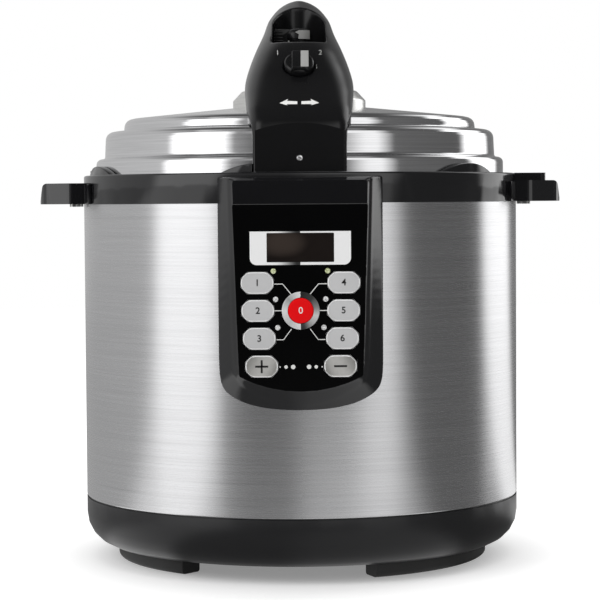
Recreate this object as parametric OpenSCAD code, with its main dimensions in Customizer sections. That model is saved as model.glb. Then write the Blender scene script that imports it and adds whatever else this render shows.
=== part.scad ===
// Electric pressure cooker, in millimetres.
// The origin is on the pot's axis, on the counter. The panel faces -Y and +Z is up.
// An azimuth is an angle about that axis, from the front and towards +X.

/* [Body] */
// Outer radius of the steel shell
body_r = 165; // [155:1:175]
// Wall of the steel shell
shell_t = 1; // [0.6:0.1:1.4]
// Height of the steel shell between its two seams
shell_h = 220.6; // [200:0.2:250]
// Height of the feet
foot_h = 10; // [6:0.5:14]
// Angle that each of the three feet spans
foot_angle = 60; // [40:1:80]
// Width of a foot across its arc
foot_w = 19; // [12:1:24]
// Azimuth of the first foot's middle
foot_azimuth = 52; // [40:1:70]
// Height of the base moulding
base_h = 37.4; // [36:0.2:46]
// Radius that rounds the base in at the bottom
base_round = 24; // [18:1:28]
// Wall of the base moulding
base_t = 2.5; // [2:0.1:3.5]
// Height of the collar above the steel shell
collar_h = 21.6; // [20:0.2:26]

/* [Pots] */
// Distance from the shell's face to the cooking pot's inner wall
pot_gap = 32.5; // [31:0.5:38]
// Wall of the cooking pot
pot_t = 2; // [1.4:0.1:2.4]
// Width of the cooking pot's rim beyond its wall
pot_rim_w = 7.5; // [6:0.1:8]
// Height of the cooking pot's underside above the base's seam
pot_stand = 28.8; // [28:0.2:36]
// Space between the cooking pot and the outer pot
pot_play = 3.5; // [2.5:0.1:3.6]
// Wall of the outer pot
outer_pot_t = 2.5; // [2:0.1:3]
// Thickness of the outer pot's bayonet flange
flange_t = 3; // [2.4:0.1:3.4]

/* [Lid] */
// Width of the collar's top left showing round the lid
rim_land = 9.7; // [9:0.1:11]
// Thickness of the lid's sheet
lid_t = 1.5; // [1:0.1:1.8]
// Height of the lid's lowest step above the collar
lid_step_1 = 12.4; // [12:0.1:15]
// Height of the lid's second step
lid_step_2 = 20.6; // [18:0.1:24]
// Height of the lid's third step
lid_step_3 = 9.1; // [7:0.1:11]
// Rise of the dome inside the third step
lid_dome = 8.3; // [6:0.1:11]
// Width of the ledge on the lowest step
lid_ledge_1 = 7.5; // [6:0.1:9]
// Width of the ledge on the second step
lid_ledge_2 = 14.6; // [12:0.1:17]
// Radius of the raised boss under the handle
boss_r = 50.7; // [50:0.1:54]
// Height of the raised boss
boss_h = 15; // [13:0.1:17]
// Angle that each bayonet lug spans
lug_angle = 24; // [18:1:26]
// Length of the lid's bayonet lugs
lug_reach = 4.3; // [3.8:0.1:4.5]
// Height of the arched humps over the lugs
hump_h = 6.5; // [4:0.1:8]

/* [Lid handle] */
// Width of the handle's front plate
plate_w = 66; // [60:0.5:70]
// Widest part of the handle's hood
hood_w = 80; // [76:0.5:86]
// Height of the hood's top above the collar
hood_h = 133.8; // [130:0.2:140]
// Radius of the selector knob
knob_r = 11; // [8:0.1:12]
// Radius of the limiting valve's cap
valve_r = 10; // [8:0.1:10.5]
// Travel of the float valve
float_travel = 3.5; // [2.5:0.1:3.5]

/* [Side handles] */
// Reach of the side handles beyond the shell
grip_reach = 31.7; // [29:0.1:36]
// Width of the side handles, front to back
grip_w = 92; // [86:1:100]
// Height of the side handles
grip_h = 15.6; // [14:0.1:17]
// Wall of the side handles
grip_t = 2.6; // [2:0.1:3]

/* [Panel] */
// Width of the panel's bezel
panel_w = 116; // [112:1:120]
// Width of the panel's flat face at its top
face_w = 94; // [90:1:98]
// Narrowing of the face on each side, from its top to its bottom
face_taper = 4; // [1:0.5:5]
// How far the panel stands out in front of the shell
panel_proud = 8; // [7:0.2:11]
// Wall of the bezel
bezel_t = 2.6; // [2:0.1:3]
// Depth that the panel reaches below the collar
panel_drop = 146; // [143:1:152]
// Width of a key
key_w = 22.6; // [20:0.1:23]
// Height of a key
key_h = 15.1; // [13:0.1:16]
// Distance from one row of keys to the next
key_pitch = 19.3; // [18.5:0.1:20]
// Travel of each key
key_travel = 0.8; // [0.4:0.1:0.8]
// Radius of the red stop key
stop_key_r = 8.8; // [7:0.1:9.5]
// Width of the display window
window_w = 46.4; // [40:0.2:50]
// Height of the display window
window_h = 20; // [16:0.2:21]

/* [Rear] */
// Width of the condensate cup
cup_w = 48; // [40:1:54]
// Height of the condensate cup
cup_h = 50; // [40:1:56]
// How far the condensate cup stands out behind the shell
cup_proud = 13; // [12:0.2:15]

/* [Hidden] */
$fn = 180;

// Clearance between loose pieces, between pieces that run in each other, and past a cut
gap = 0.3;
run = 0.05;
past = 1;
arc_steps = 5;

// Heights of the body's seams and of the collar's rim
seam_z = foot_h + base_h;
collar_z = seam_z + shell_h;
rim_z = collar_z + collar_h;
floor_z = foot_h + base_t;

// Radii and heights of the two pots
shell_in = body_r - shell_t;
spigot_r = shell_in - 0.4;
pot_r = body_r - pot_gap;
pot_out = pot_r + pot_t;
outer_pot_in = pot_out + pot_play;
outer_pot_out = outer_pot_in + outer_pot_t;
pot_base_z = seam_z + pot_stand;
flange_z = rim_z - 5.6;
pot_rim_z = flange_z + gap + pot_t;
pot_round = 14;

// The lid's radii, and heights from the skirt's lower edge to the boss
lid_r = body_r - rim_land;
lid_r2 = lid_r - lid_ledge_1;
lid_r3 = lid_r2 - lid_ledge_2;
skirt_in = lid_r - lid_t;
lug_in = skirt_in - lug_reach;
lug_t = 3;
lug_count = 6;
lug_top = flange_z - flange_t - 0.6;
skirt_z = lug_top - lug_t;
step_1_z = rim_z + lid_step_1;
step_2_z = step_1_z + lid_step_2;
step_3_z = step_2_z + lid_step_3;
dome_z = step_3_z + lid_dome;
dome_r = boss_r + 3;
lid_taper = 1;
boss_top = dome_z + boss_h;

// The inner lid, which carries the sealing ring
inner_lid_t = 1.5;
inner_lid_r = lug_in - 1.2;
inner_lid_z = rim_z + 26.4;
seal_top = rim_z + 8.4;
seal_z = pot_rim_z + gap;
seal_r = inner_lid_r - inner_lid_t - gap;
seal_in = pot_r - 1;

// The heater, from the outer pot's floor up to the cooking pot
plate_top = pot_base_z - gap;
plate_thick = 13;
plate_r = 112;
plate_rise = 10.4;
heater_z = plate_top - plate_thick;
outer_floor_z = heater_z - plate_rise;
outer_base_z = outer_floor_z - outer_pot_t;
element_r = 71;
element_tube = 3.8;
terminal_swing = 10;
terminal_hole_r = 6;
post_r = 100;
sensor_r = 15;
sensor_stem_r = 8;
sensor_travel = 3;
sensor_t = 3.5;
housing_flange_t = 2;
housing_h = 13.5;

// Points of an arc about c, from angle a to angle b
function around(c, r, a) = c + r * [cos(a), sin(a)];
function arc(c, r, a, b, n) = [for (i = [0:n]) around(c, r, a + (b - a) * i / n)];
function unit(v) = v / norm(v);
function flat(p) = [p[0], p[1]];
function reverse(list) = [for (i = [len(list) - 1:-1:0]) list[i]];

// The corner at q between its neighbours p and s, rounded to the radius in q[2]
function corner(p, q, s) =
    q[2] <= 0
    ? [flat(q)]
    : let (a = unit(flat(p) - flat(q)), b = unit(flat(s) - flat(q)),
           half = acos(a * b) / 2,
           c = flat(q) + unit(a + b) * q[2] / sin(half),
           start = flat(q) + a * q[2] / tan(half) - c,
           from = atan2(start[1], start[0]),
           sweep = (cross(a, b) < 0 ? 1 : -1) * (180 - 2 * half))
      arc(c, q[2], from, from + sweep, arc_steps);

// A closed outline of [x, y, corner radius] points
function rounded(pts) =
    let (n = len(pts)) [for (i = [0:n - 1]) each corner(pts[(i + n - 1) % n], pts[i], pts[(i + 1) % n])];

// Points from [-half, side] to [half, side] along an arc whose middle is at height mid
function bowed(half, side, mid, n) =
    let (sag = abs(side - mid), r = (half * half + sag * sag) / (2 * sag), a = asin(half / r),
         up = mid > side ? 1 : -1)
    arc([0, mid - up * r], r, up * (90 + a), up * (90 - a), n);

module turned(pts) {
    rotate_extrude() polygon(rounded(pts));
}

module tube(r_in, r_out, z_low, z_high) {
    translate([0, 0, z_low]) difference() {
        cylinder(r = r_out, h = z_high - z_low);
        translate([0, 0, -past]) cylinder(r = r_in, h = z_high - z_low + 2 * past);
    }
}

module rod(x, y, r, z_low, z_high) {
    translate([x, y, z_low]) cylinder(r = r, h = z_high - z_low);
}

// A cylinder that runs back along +Y
module lead(x, y, z, r, length) {
    translate([x, y, z]) rotate([-90, 0, 0]) cylinder(r = r, h = length);
}

// A stretch of a ring, with its middle at an azimuth
module sector(r_in, r_out, z_low, z_high, azimuth, angle) {
    rotate([0, 0, azimuth - 90 - angle / 2])
        rotate_extrude(angle = angle)
            translate([r_in, z_low]) square([r_out - r_in, z_high - z_low]);
}

module block(low, high) {
    translate(low) cube(high - low);
}

// An outline in the X-Z plane, extruded between two depths
module standing(y_front, y_back) {
    translate([0, y_back, 0]) rotate([90, 0, 0]) linear_extrude(y_back - y_front) children();
}

// An outline lying in the X-Y plane, extruded between two heights
module lying(z_low, z_high) {
    translate([0, 0, z_low]) linear_extrude(z_high - z_low) children();
}

/* Base and feet */

cover_hole_r = 70;
cover_r = 78;
cover_t = 2;
cover_screw_r = 74;
vent_rings = [[29, 8], [51, 14]];
vent_l = 16;
vent_w = 4;
small_head_h = 1.6;
small_head_r = 2.8;
small_shank_r = 1.25;
small_hole_r = 1.3;
groove_h = 1;
groove_d = 1;
spigot_h = 8;
pot_post_r = 95;
post_size = 5;

// The power board lies on the right, between two of the posts
board_x = body_r - 87;
board_y = -48;
board_w = 55;
board_l = 86;
board_z = floor_z + 7.5;
board_t = 1.6;
stand_in = 4;
board_corners = [for (x = [stand_in, board_w - stand_in], y = [stand_in, board_l - stand_in])
    [board_x + x, board_y + y]];

// The inlet's housing, in the rear wall of the base
inlet_w = 30;
inlet_low = foot_h + 11;
inlet_top = seam_z - 5;
inlet_y = body_r - 5;
inlet_depth = 25;

module cover_screw_spots() {
    for (a = [0:60:300]) rotate([0, 0, a]) translate([cover_screw_r, 0, 0]) children();
}

module base_shell() color("#242426") {
    difference() {
        turned([[cover_hole_r, foot_h, 0], [body_r, foot_h, base_round],
            [body_r, seam_z - groove_h, 0], [body_r - groove_d, seam_z - groove_h, 0],
            [body_r - groove_d, seam_z, 0], [spigot_r, seam_z, 0],
            [spigot_r, seam_z + spigot_h, 0], [spigot_r - base_t, seam_z + spigot_h, 0],
            [spigot_r - base_t, floor_z, base_round - base_t], [cover_hole_r, floor_z, 0]]);
        block([-inlet_w / 2 - run, inlet_y - inlet_depth, inlet_low - run],
            [inlet_w / 2 + run, body_r + past, inlet_top + run]);
        cover_screw_spots() rod(0, 0, small_hole_r, foot_h - past, floor_z + past);
    }
    for (a = [0, 120, 240]) rotate([0, 0, a - 90]) rod(pot_post_r, 0, post_size, floor_z - past, outer_base_z);
    for (p = board_corners) rod(p[0], p[1], 2.5, floor_z - past, board_z);
}

module bottom_cover() color("#2c2c2e") difference() {
    rod(0, 0, cover_r, foot_h - cover_t, foot_h);
    for (ring = vent_rings) for (i = [0:ring[1] - 1])
        rotate([0, 0, i * 360 / ring[1]]) translate([ring[0], 0, foot_h - cover_t / 2])
            cube([vent_l, vent_w, cover_t + 2 * past], center = true);
    cover_screw_spots() rod(0, 0, small_shank_r + gap, foot_h - cover_t - past, foot_h + past);
}

// A screw that stands on its head
module screw(x, y, head_z, head_h, head_r, shank_r, tip_z) {
    rod(x, y, head_r, head_z, head_z + head_h);
    rod(x, y, shank_r, head_z, tip_z);
}

module housing_screws() color("#b9bbbd") {
    cover_screw_spots() screw(0, 0, foot_h - cover_t - small_head_h, small_head_h, small_head_r,
        small_shank_r, floor_z);
    for (p = stud_spots) {
        standing(board_back, board_back + small_head_h) translate(p) circle(r = small_head_r);
        standing(board_face - 6, board_back + small_head_h) translate(p) circle(r = small_shank_r);
    }
}

module foot(azimuth) color("#1c1c1d") {
    foot_r = body_r - base_round;
    rotate([0, 0, azimuth - 90 - foot_angle / 2]) rotate_extrude(angle = foot_angle)
        polygon(rounded([[foot_r - foot_w, 0, 2], [foot_r, 0, 3],
            [foot_r, foot_h, 0], [foot_r - foot_w, foot_h, 0]]));
}

/* Steel shell, collar and side handles */

window_half = 46;
panel_y = -body_r - panel_proud;
face_top = collar_z - 1;
face_side = collar_z - panel_drop + 26;
face_low = collar_z - panel_drop + 15.5;

// The spout drains the collar's channel into the condensate cup
cup_top = collar_z - 22;
spout_r = 3.5;
spout_z = cup_top + 4;
spout_y = body_r - 15;
channel_z = collar_z - 10;
channel_t = 3;
spout_bore = 2.4;

module outer_shell() color("#b4b5b6") difference() {
    turned([[body_r - shell_t, seam_z, 0], [body_r - 0.3, seam_z, 0], [body_r, seam_z + 0.6, 0],
        [body_r, collar_z, 0], [body_r - shell_t, collar_z, 0]]);
    block([-window_half, -body_r - past, face_side + 2], [window_half, -body_r / 2, face_top - 2]);
    lead(0, spout_y, spout_z, spout_r + gap, body_r);
}

collar_in = lid_r + 2.2;
trim_r = lid_r + 5.7;
rim_play = 0.4;
dam_r = outer_pot_out + 2.5;
dam_h = 14;
trim_z = rim_z - 6.6;
ear_w = 56;
ear_t = 3;
ear_x = body_r + 11;
screw_x = body_r + 6.5;
screw_y = 20;
grip_screw_r = 1.7;
peg_azimuth = -98;
peg_at = body_r - 2.2;
peg_r = 1.6;
peg_h = 4.3;
grip_z = collar_z + gap;

module collar() color("#161617") {
    difference() {
        turned([[outer_pot_out + gap, channel_z, 0], [spigot_r, channel_z, 0], [spigot_r, collar_z, 0],
            [body_r, collar_z, 0], [body_r, rim_z, 1.5], [trim_r + rim_play, rim_z, 0],
            [trim_r + rim_play, trim_z - rim_play, 0], [collar_in, trim_z - rim_play, 0],
            [collar_in, channel_z + channel_t, 0], [dam_r, channel_z + channel_t, 0],
            [dam_r, channel_z + dam_h, 0], [outer_pot_out + gap, channel_z + dam_h, 0]]);
        rod(0, spout_y, spout_bore, channel_z - past, channel_z + channel_t + past);
    }
    for (side = [0, 1]) mirror([side, 0, 0]) difference() {
        block([body_r - 5, -ear_w / 2, grip_z], [ear_x, ear_w / 2, grip_z + ear_t]);
        for (y = [-screw_y, screw_y])
            rod(screw_x, y, grip_screw_r + 0.1, grip_z - past, grip_z + ear_t + past);
    }
    rotate([0, 0, peg_azimuth]) rod(0, -peg_at, peg_r, rim_z - past, rim_z + peg_h);
}

// The handle's outline seen from above, drawn in by a distance
function grip_outline(inset) = [
    [body_r - 14, -grip_w / 2 + inset, 0], [body_r + 7, -grip_w / 2 + inset, 12 - inset],
    [body_r + grip_reach - inset, -grip_w / 2 + 14 + inset, 18 - inset],
    [body_r + grip_reach - inset, grip_w / 2 - 14 - inset, 18 - inset],
    [body_r + 7, grip_w / 2 - inset, 12 - inset], [body_r - 14, grip_w / 2 - inset, 0]];

grip_top = grip_z + grip_h;
grip_lean = 2.7;

// The handle's outline seen from the front, drawn in by a distance
function grip_profile(inset, low) = [
    [0, low, 0], [body_r + grip_reach - inset, low, 1],
    [body_r + grip_reach - grip_lean - inset, grip_top - inset, 4 - inset], [0, grip_top - inset, 0]];

grip_stud_r = 4;
wrap_t = 2.5;
cavity_x = body_r + wrap_t + 1;

module side_handle() {
    difference() {
        union() {
            intersection() {
                lying(grip_z, grip_top) polygon(rounded(grip_outline(0)));
                standing(-grip_w, grip_w) polygon(rounded(grip_profile(0, grip_z)));
            }
            sector(body_r - 1, body_r + wrap_t, grip_z, grip_top - 1, 90, 41);
        }
        difference() {
            intersection() {
                lying(grip_z - past, grip_top) polygon(rounded(grip_outline(grip_t)));
                standing(-grip_w, grip_w) polygon(rounded(grip_profile(grip_t, grip_z - past)));
            }
            rod(0, 0, cavity_x, grip_z - 2 * past, grip_top);
            for (y = [-screw_y, screw_y]) rod(screw_x, y, grip_stud_r, grip_z + ear_t, grip_top);
        }
        block([body_r - 20, -ear_w / 2 - gap, grip_z - past], [ear_x + gap, ear_w / 2 + gap, grip_z + ear_t]);
        rod(0, 0, body_r + 0.1, grip_z - past, grip_top + past);
        for (y = [-screw_y, screw_y]) rod(screw_x, y, grip_screw_r + run, grip_z - past, grip_top - grip_t);
    }
}

socket_x = body_r + 6;
socket_w = 5;
socket_l = 28;
socket_reach = 20;
socket_half = 36;

module handle_left() color("#161617") mirror([1, 0, 0]) side_handle();

module handle_right() color("#161617") {
    side_handle();
    difference() {
        lying(grip_top - past, rim_z) polygon(rounded([
            [body_r - 14, -socket_half, 0], [body_r + socket_reach, -socket_half, 4],
            [body_r + socket_reach, socket_half, 4], [body_r - 14, socket_half, 0]]));
        rod(0, 0, body_r + 0.1, grip_top - 2 * past, rim_z + past);
        block([socket_x, -socket_l / 2, grip_top + 0.4], [socket_x + socket_w, socket_l / 2, rim_z + past]);
    }
}

module handle_screws() color("#b9bbbd") {
    for (x = [-screw_x, screw_x], y = [-screw_y, screw_y])
        screw(x, y, grip_z - 2, 2, 3.2, grip_screw_r, grip_z + 11);
}

/* Control panel */

panel_round = 12;
panel_side = collar_z - panel_drop + 19;
// The slanting lower face runs on by this much, so that it meets the round shell at the set drop
bezel_run = 18;
panel_low = collar_z - panel_drop - bezel_run;
panel_top = rim_z - 2.6;
face_half = face_w / 2;
face_low_half = face_half - face_taper;
bezel_back = panel_y + 18.5;
// The bezel's steep shoulder beside the face, before its flank
shoulder_depth = 5.6;
shoulder_w = 4.1;
shoulder_drop = 10.5;
window_z = collar_z - 30.7;
film_t = 0.5;
film_fit = 0.1;
board_face = panel_y + 15.6;
board_back = board_face + board_t;
board_low = face_side + 4;
board_top = channel_z - 1;
switch_h = 2.8;
switch_body_h = 1.6;
lens_r = 1.9;
key_top_z = collar_z - 55.1;
key_x = 30;
key_tuck = 0.3;
ring_in = stop_key_r + 1.8;
ring_out = stop_key_r + 4.3;
lens_fit = 0.1;

// Middle of key i from the top, on the side -1 or 1
function key_spot(side, i) = [side * (key_x - key_tuck * i * i), key_top_z - key_pitch * i];
stop_spot = [0, key_top_z - key_pitch];
lens_spots = [for (side = [-1, 1], i = [0:2]) [side * (18.8 - 1.4 * i), key_top_z + 8.2 - 19.6 * i]];
key_spots = [for (side = [-1, 1], i = [0:3]) key_spot(side, i)];
// Studs inside the bezel, which reach through the shell's window to the control board
stud_spots = [[-38, board_top - 4], [38, board_top - 4], [-9, board_low + 5], [9, board_low + 5]];
stud_r = 3;

function outer_outline() = rounded(concat([[panel_w / 2, panel_top, 3], [-panel_w / 2, panel_top, 3]],
    [for (i = [0:12]) let (p = bowed(panel_w / 2, panel_side, panel_low, 12)[i])
        [p[0], p[1], i == 0 || i == 12 ? panel_round / 2 : 0]]));

function face_outline(grow, top, side, low) = rounded(concat(
    [[face_half + grow, top, 1], [-face_half - grow, top, 1]],
    [for (i = [0:8]) let (p = bowed(face_low_half + grow, side, low, 8)[i])
        [p[0], p[1], i == 0 || i == 8 ? 2 : 0]]));

module octagon(w, h, cut) {
    polygon([[w / 2 - cut, -h / 2], [w / 2, -h / 2 + cut], [w / 2, h / 2 - cut], [w / 2 - cut, h / 2],
        [cut - w / 2, h / 2], [-w / 2, h / 2 - cut], [-w / 2, cut - h / 2], [cut - w / 2, -h / 2]]);
}

key_cut = 4.6;

// The holes for the keys, the stop key, the lenses and the window, each grown by a clearance
module panel_holes(y_front, y_back, grow) {
    for (p = key_spots) standing(y_front, y_back) translate(p)
        octagon(key_w + 2 * grow, key_h + 2 * grow, key_cut);
    for (p = lens_spots) standing(y_front, y_back) translate(p) circle(r = lens_r + lens_fit);
    standing(y_front, y_back) translate(stop_spot) circle(r = stop_key_r + grow);
    window_block(y_front, y_back, lens_fit);
}

module window_block(y_front, y_back, grow) {
    block([-window_w / 2 - grow, y_front, window_z - window_h / 2 - grow],
        [window_w / 2 + grow, y_back, window_z + window_h / 2 + grow]);
}

flank_depth = 7.5;
face_lip = 1.5;

module panel_bezel() color("#121213") difference() {
    union() {
        difference() {
            union() {
                hull() {
                    standing(panel_y, panel_y + 0.5)
                        polygon(face_outline(0, panel_top - 3, face_side, face_low));
                    standing(panel_y + shoulder_depth, panel_y + shoulder_depth + 0.5)
                        polygon(face_outline(shoulder_w, panel_top - 1, face_side - 2, face_low - shoulder_drop));
                    standing(bezel_back - 0.5, bezel_back) polygon(outer_outline());
                }
                standing(bezel_back - 0.1, bezel_back + flank_depth) polygon(outer_outline());
            }
            standing(panel_y + bezel_t, bezel_back + flank_depth + past)
                polygon(face_outline(-face_lip, face_top - face_lip, face_side + 0.5, face_low + face_lip));
        }
        for (p = stud_spots) standing(panel_y + bezel_t - 0.5, board_face) translate(p) circle(r = stud_r);
    }
    for (p = stud_spots) standing(board_face - 7, board_face + past) translate(p) circle(r = small_hole_r);
    rod(0, 0, body_r + 0.1, panel_low - past, rim_z + past);
    standing(panel_y - past, panel_y + film_t)
        polygon(face_outline(film_fit, face_top + film_fit, face_side - film_fit, face_low - film_fit));
    panel_holes(panel_y - past, panel_y + bezel_t + film_fit, gap);
}

module panel_film() color("#0d0d0e") difference() {
    standing(panel_y, panel_y + film_t) polygon(face_outline(0, face_top, face_side, face_low));
    panel_holes(panel_y - past, panel_y + film_t + past, gap);
}

module display_window() color("#1d1614") window_block(panel_y - 0.2, panel_y + bezel_t, 0);

module_back = panel_y + 12;

module display_module() color("#3c3a38") {
    window_block(panel_y + bezel_t + gap, module_back, 1);
    for (z = [window_z - 7, window_z + 7]) block([-18, module_back - past, z - 1], [18, board_face, z + 1]);
}

board_half = 41;

// The board, with a controller and a row of plugs on its back
module control_board() color("#2f6b3c") difference() {
    union() {
        block([-board_half, board_face, board_low], [board_half, board_back, board_top]);
        block([-14, board_face, board_low + 14], [10, board_back + 4, board_low + 32]);
        block([16, board_face, board_low + 6], [34, board_back + 7, board_low + 14]);
    }
    for (p = stud_spots)
        standing(board_face - past, board_back + past) translate(p) circle(r = small_hole_r + 0.1);
}

module key_switches() color("#353538") {
    for (p = concat(key_spots, [stop_spot])) {
        block([p[0] - 3, board_face - switch_body_h, p[1] - 3], [p[0] + 3, board_face, p[1] + 3]);
        standing(board_face - switch_h, board_face) translate(p) circle(r = 1.7);
    }
}

module indicator_lenses() color("#d8efe0") {
    for (p = lens_spots) standing(panel_y - 0.3, panel_y + bezel_t) translate(p) circle(r = lens_r);
}

module stop_key_ring() color("#c4c6c8") {
    standing(panel_y - 0.6, panel_y) translate(stop_spot) difference() {
        circle(r = ring_out);
        circle(r = ring_in);
    }
}

// A key's flange lies behind the bezel's face and keeps the key from falling out
key_flange = 1.1;
flange_front = panel_y + bezel_t + gap;
flange_back = flange_front + 0.9;

// A key's stem ends short of its switch by the travel and a little more
module key_stem(p) {
    standing(flange_front, board_face - switch_h - key_travel - 0.2) translate(p) circle(r = 2.5);
}

module key(side, i) color("#b9babc") {
    p = key_spot(side, i);
    standing(panel_y - 0.7, flange_back) translate(p) octagon(key_w, key_h, key_cut);
    standing(flange_front, flange_back) translate(p)
        octagon(key_w + 2 * key_flange, key_h + 2 * key_flange, key_cut);
    key_stem(p);
}

module stop_key() color("#d3202a") {
    standing(panel_y - 0.9, flange_back) translate(stop_spot) circle(r = stop_key_r);
    standing(flange_front, flange_back) translate(stop_spot) circle(r = stop_key_r + key_flange);
    key_stem(stop_spot);
}

/* Pots and heater */

module outer_pot() color("#a9abad") {
    difference() {
        turned([[sensor_stem_r + 1, outer_base_z, 0], [outer_pot_out, outer_base_z, 12],
            [outer_pot_out, flange_z - flange_t, 0], [lug_in - 1.5, flange_z - flange_t, 0],
            [lug_in - 1.5, flange_z, 0], [outer_pot_in, flange_z, 0],
            [outer_pot_in, outer_floor_z, 12 - outer_pot_t], [sensor_stem_r + 1, outer_floor_z, 0]]);
        for (a = [-terminal_swing, terminal_swing]) rotate([0, 0, 180 + a])
            rod(element_r, 0, terminal_hole_r, outer_base_z - past, outer_floor_z + past);
    }
    for (i = [0:lug_count - 1])
        sector(lug_in - 2, skirt_in - 0.8, flange_z - flange_t, flange_z, i * 360 / lug_count, lug_angle);
}

module inner_pot() color("#8e9092") {
    turned([[0, pot_base_z, 0], [pot_out, pot_base_z, pot_round], [pot_out, flange_z + gap, 0],
        [pot_out + pot_rim_w, flange_z + gap, 0], [pot_out + pot_rim_w, pot_rim_z, 0],
        [pot_r, pot_rim_z, 0], [pot_r, pot_base_z + pot_t, pot_round - pot_t], [0, pot_base_z + pot_t, 0]]);
}

plate_bore = sensor_r + 2;
web_z = plate_top - 8;
groove_radii = [40, 60, 80, 98];
// The element lies in a rib on the plate's underside
rib_half = 9;
element_z = heater_z + element_tube;

module heating_plate() color("#c6c7c8") difference() {
    turned([[plate_bore, plate_top, 0], [plate_r, plate_top, 3], [plate_r, web_z, 0],
        [element_r + rib_half + 4, web_z, 0], [element_r + rib_half, heater_z, 0],
        [element_r - rib_half, heater_z, 0], [element_r - rib_half - 4, web_z, 0],
        [plate_bore + 9, web_z, 0], [plate_bore + 9, web_z - 4, 0], [plate_bore, web_z - 4, 0]]);
    for (r = groove_radii) tube(r, r + 1.4, plate_top - 0.8, plate_top + past);
    rotate_extrude() translate([element_r, element_z]) circle(r = element_tube + gap, $fn = 32);
    tube(element_r - element_tube - gap, element_r + element_tube + gap, heater_z - past, element_z);
}

module heating_element() color("#6f6660") {
    rotate([0, 0, 180 + terminal_swing]) rotate_extrude(angle = 360 - 2 * terminal_swing)
        translate([element_r, element_z]) circle(r = element_tube, $fn = 32);
    for (a = [-terminal_swing, terminal_swing]) rotate([0, 0, 180 + a])
        rod(element_r, 0, 3, outer_base_z - 6, element_z);
}

module plate_posts() color("#9a9c9e") {
    for (a = [30, 150, 270]) rotate([0, 0, a]) translate([post_r, 0, 0]) {
        tube(2, 4, outer_floor_z, web_z - gap);
        tube(2, 7, outer_floor_z, outer_floor_z + 1.5);
    }
}

module sensor_housing() color("#d9d4c8") {
    tube(sensor_stem_r + run, sensor_stem_r + 3, outer_floor_z, outer_floor_z + housing_h);
    tube(sensor_stem_r + 2, sensor_r + 1, outer_floor_z, outer_floor_z + housing_flange_t);
}

module thermal_sensor() color("#c9cacb") {
    foot_z = outer_floor_z + sensor_travel + 0.5;
    cap_z = plate_top - sensor_t;
    turned([[0, foot_z, 0], [sensor_stem_r, foot_z, 1], [sensor_stem_r, cap_z, 0], [sensor_r, cap_z, 0],
        [sensor_r, plate_top, 1.5], [0, plate_top, 0]]);
}

// The spring between the housing's flange and the sensor's cap
spring_r = 13;
wire_r = 0.8;
spring_turns = 5;
spring_rings = 60;
wire_sides = 8;
spring_low = outer_floor_z + housing_flange_t + wire_r;
spring_high = plate_top - sensor_t - wire_r;

function coil_ring(t) =
    let (a = 360 * spring_turns * t, z = spring_low + (spring_high - spring_low) * t)
    [for (k = [0:wire_sides - 1]) let (b = 360 * k / wire_sides, r = spring_r + wire_r * cos(b))
        [r * cos(a), r * sin(a), z + wire_r * sin(b)]];

// A solid skinned over closed rings of points, each counter-clockwise seen from the last ring
module lofted(rings) {
    n = len(rings[0]);
    last = (len(rings) - 1) * n;
    sides = [for (j = [0:len(rings) - 2], i = [0:n - 1]) let (a = j * n + i, b = j * n + (i + 1) % n)
        each [[a, a + n, b + n], [a, b + n, b]]];
    polyhedron([for (r = rings) each r],
        concat([[for (i = [0:n - 1]) i]], [[for (i = [n - 1:-1:0]) last + i]], sides));
}

module sensor_spring() color("#8f9193") {
    lofted([for (i = [0:spring_rings]) reverse(coil_ring(i / spring_rings))]);
}

/* Electrics under the pot */

module pressure_switch() color("#7a3f2a") {
    block([-56, -8, outer_base_z - 11], [-28, 8, outer_base_z - gap]);
    block([-58, -3, outer_base_z - 8], [-55, 3, outer_base_z - 2]);
    block([-29, -2, outer_base_z - 9], [-16, 2, outer_base_z - 8]);
}

module thermal_fuse() color("#e6e1d2") {
    translate([-52, 34, outer_base_z - 3.4]) rotate([0, 90, 0]) cylinder(r = 3, h = 24);
    block([-44, 30, outer_base_z - 3.4], [-36, 38, outer_base_z - gap]);
}

module power_board() color("#2f6b3c") {
    difference() {
        block([board_x, board_y, board_z], [board_x + board_w, board_y + board_l, board_z + board_t]);
        for (p = board_corners) rod(p[0], p[1], 1.3, board_z - past, board_z + board_t + past);
    }
    top = board_z + board_t;
    block([board_x + 10, board_y + 14, board_z], [board_x + 36, board_y + 38, top + 18]);
    block([board_x + 32, board_y + 50, board_z], [board_x + 48, board_y + 70, top + 15]);
    rod(board_x + 16, board_y + 56, 8, board_z, top + 18);
}

pin_y = inlet_y - 19;

// Grounded appliance socket with three flat pins, and no cord
module power_inlet() color("#1a1a1b") {
    difference() {
        block([-inlet_w / 2, inlet_y - inlet_depth, inlet_low], [inlet_w / 2, inlet_y, inlet_top]);
        standing(inlet_y - 18, inlet_y + past) polygon([[-12, inlet_low + 3], [12, inlet_low + 3],
            [12, inlet_low + 12], [7, inlet_top - 3], [-7, inlet_top - 3], [-12, inlet_low + 12]]);
    }
    for (p = [[-7, 6], [7, 6], [0, 12]])
        block([p[0] - 1, pin_y, inlet_low + p[1] - 1.5], [p[0] + 1, inlet_y - 6, inlet_low + p[1] + 2.5]);
}

/* Condensate cup */

cup_low = cup_top - cup_h;
cup_back = body_r + 3;
cup_face = body_r + cup_proud;
cup_t = 1.6;
rail_t = 2.4;
rail_x = cup_w / 2 + gap + rail_t;

module cup_bracket() color("#1d1d1e") difference() {
    union() {
        block([-rail_x, body_r - 5, cup_low + 3], [rail_x, cup_back - gap, cup_top - 4]);
        for (side = [0, 1]) mirror([side, 0, 0])
            block([rail_x - rail_t, body_r - 5, cup_low + 3], [rail_x, cup_face - 4, cup_top - 4]);
    }
    rod(0, 0, body_r + 0.1, cup_low, cup_top);
}

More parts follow.
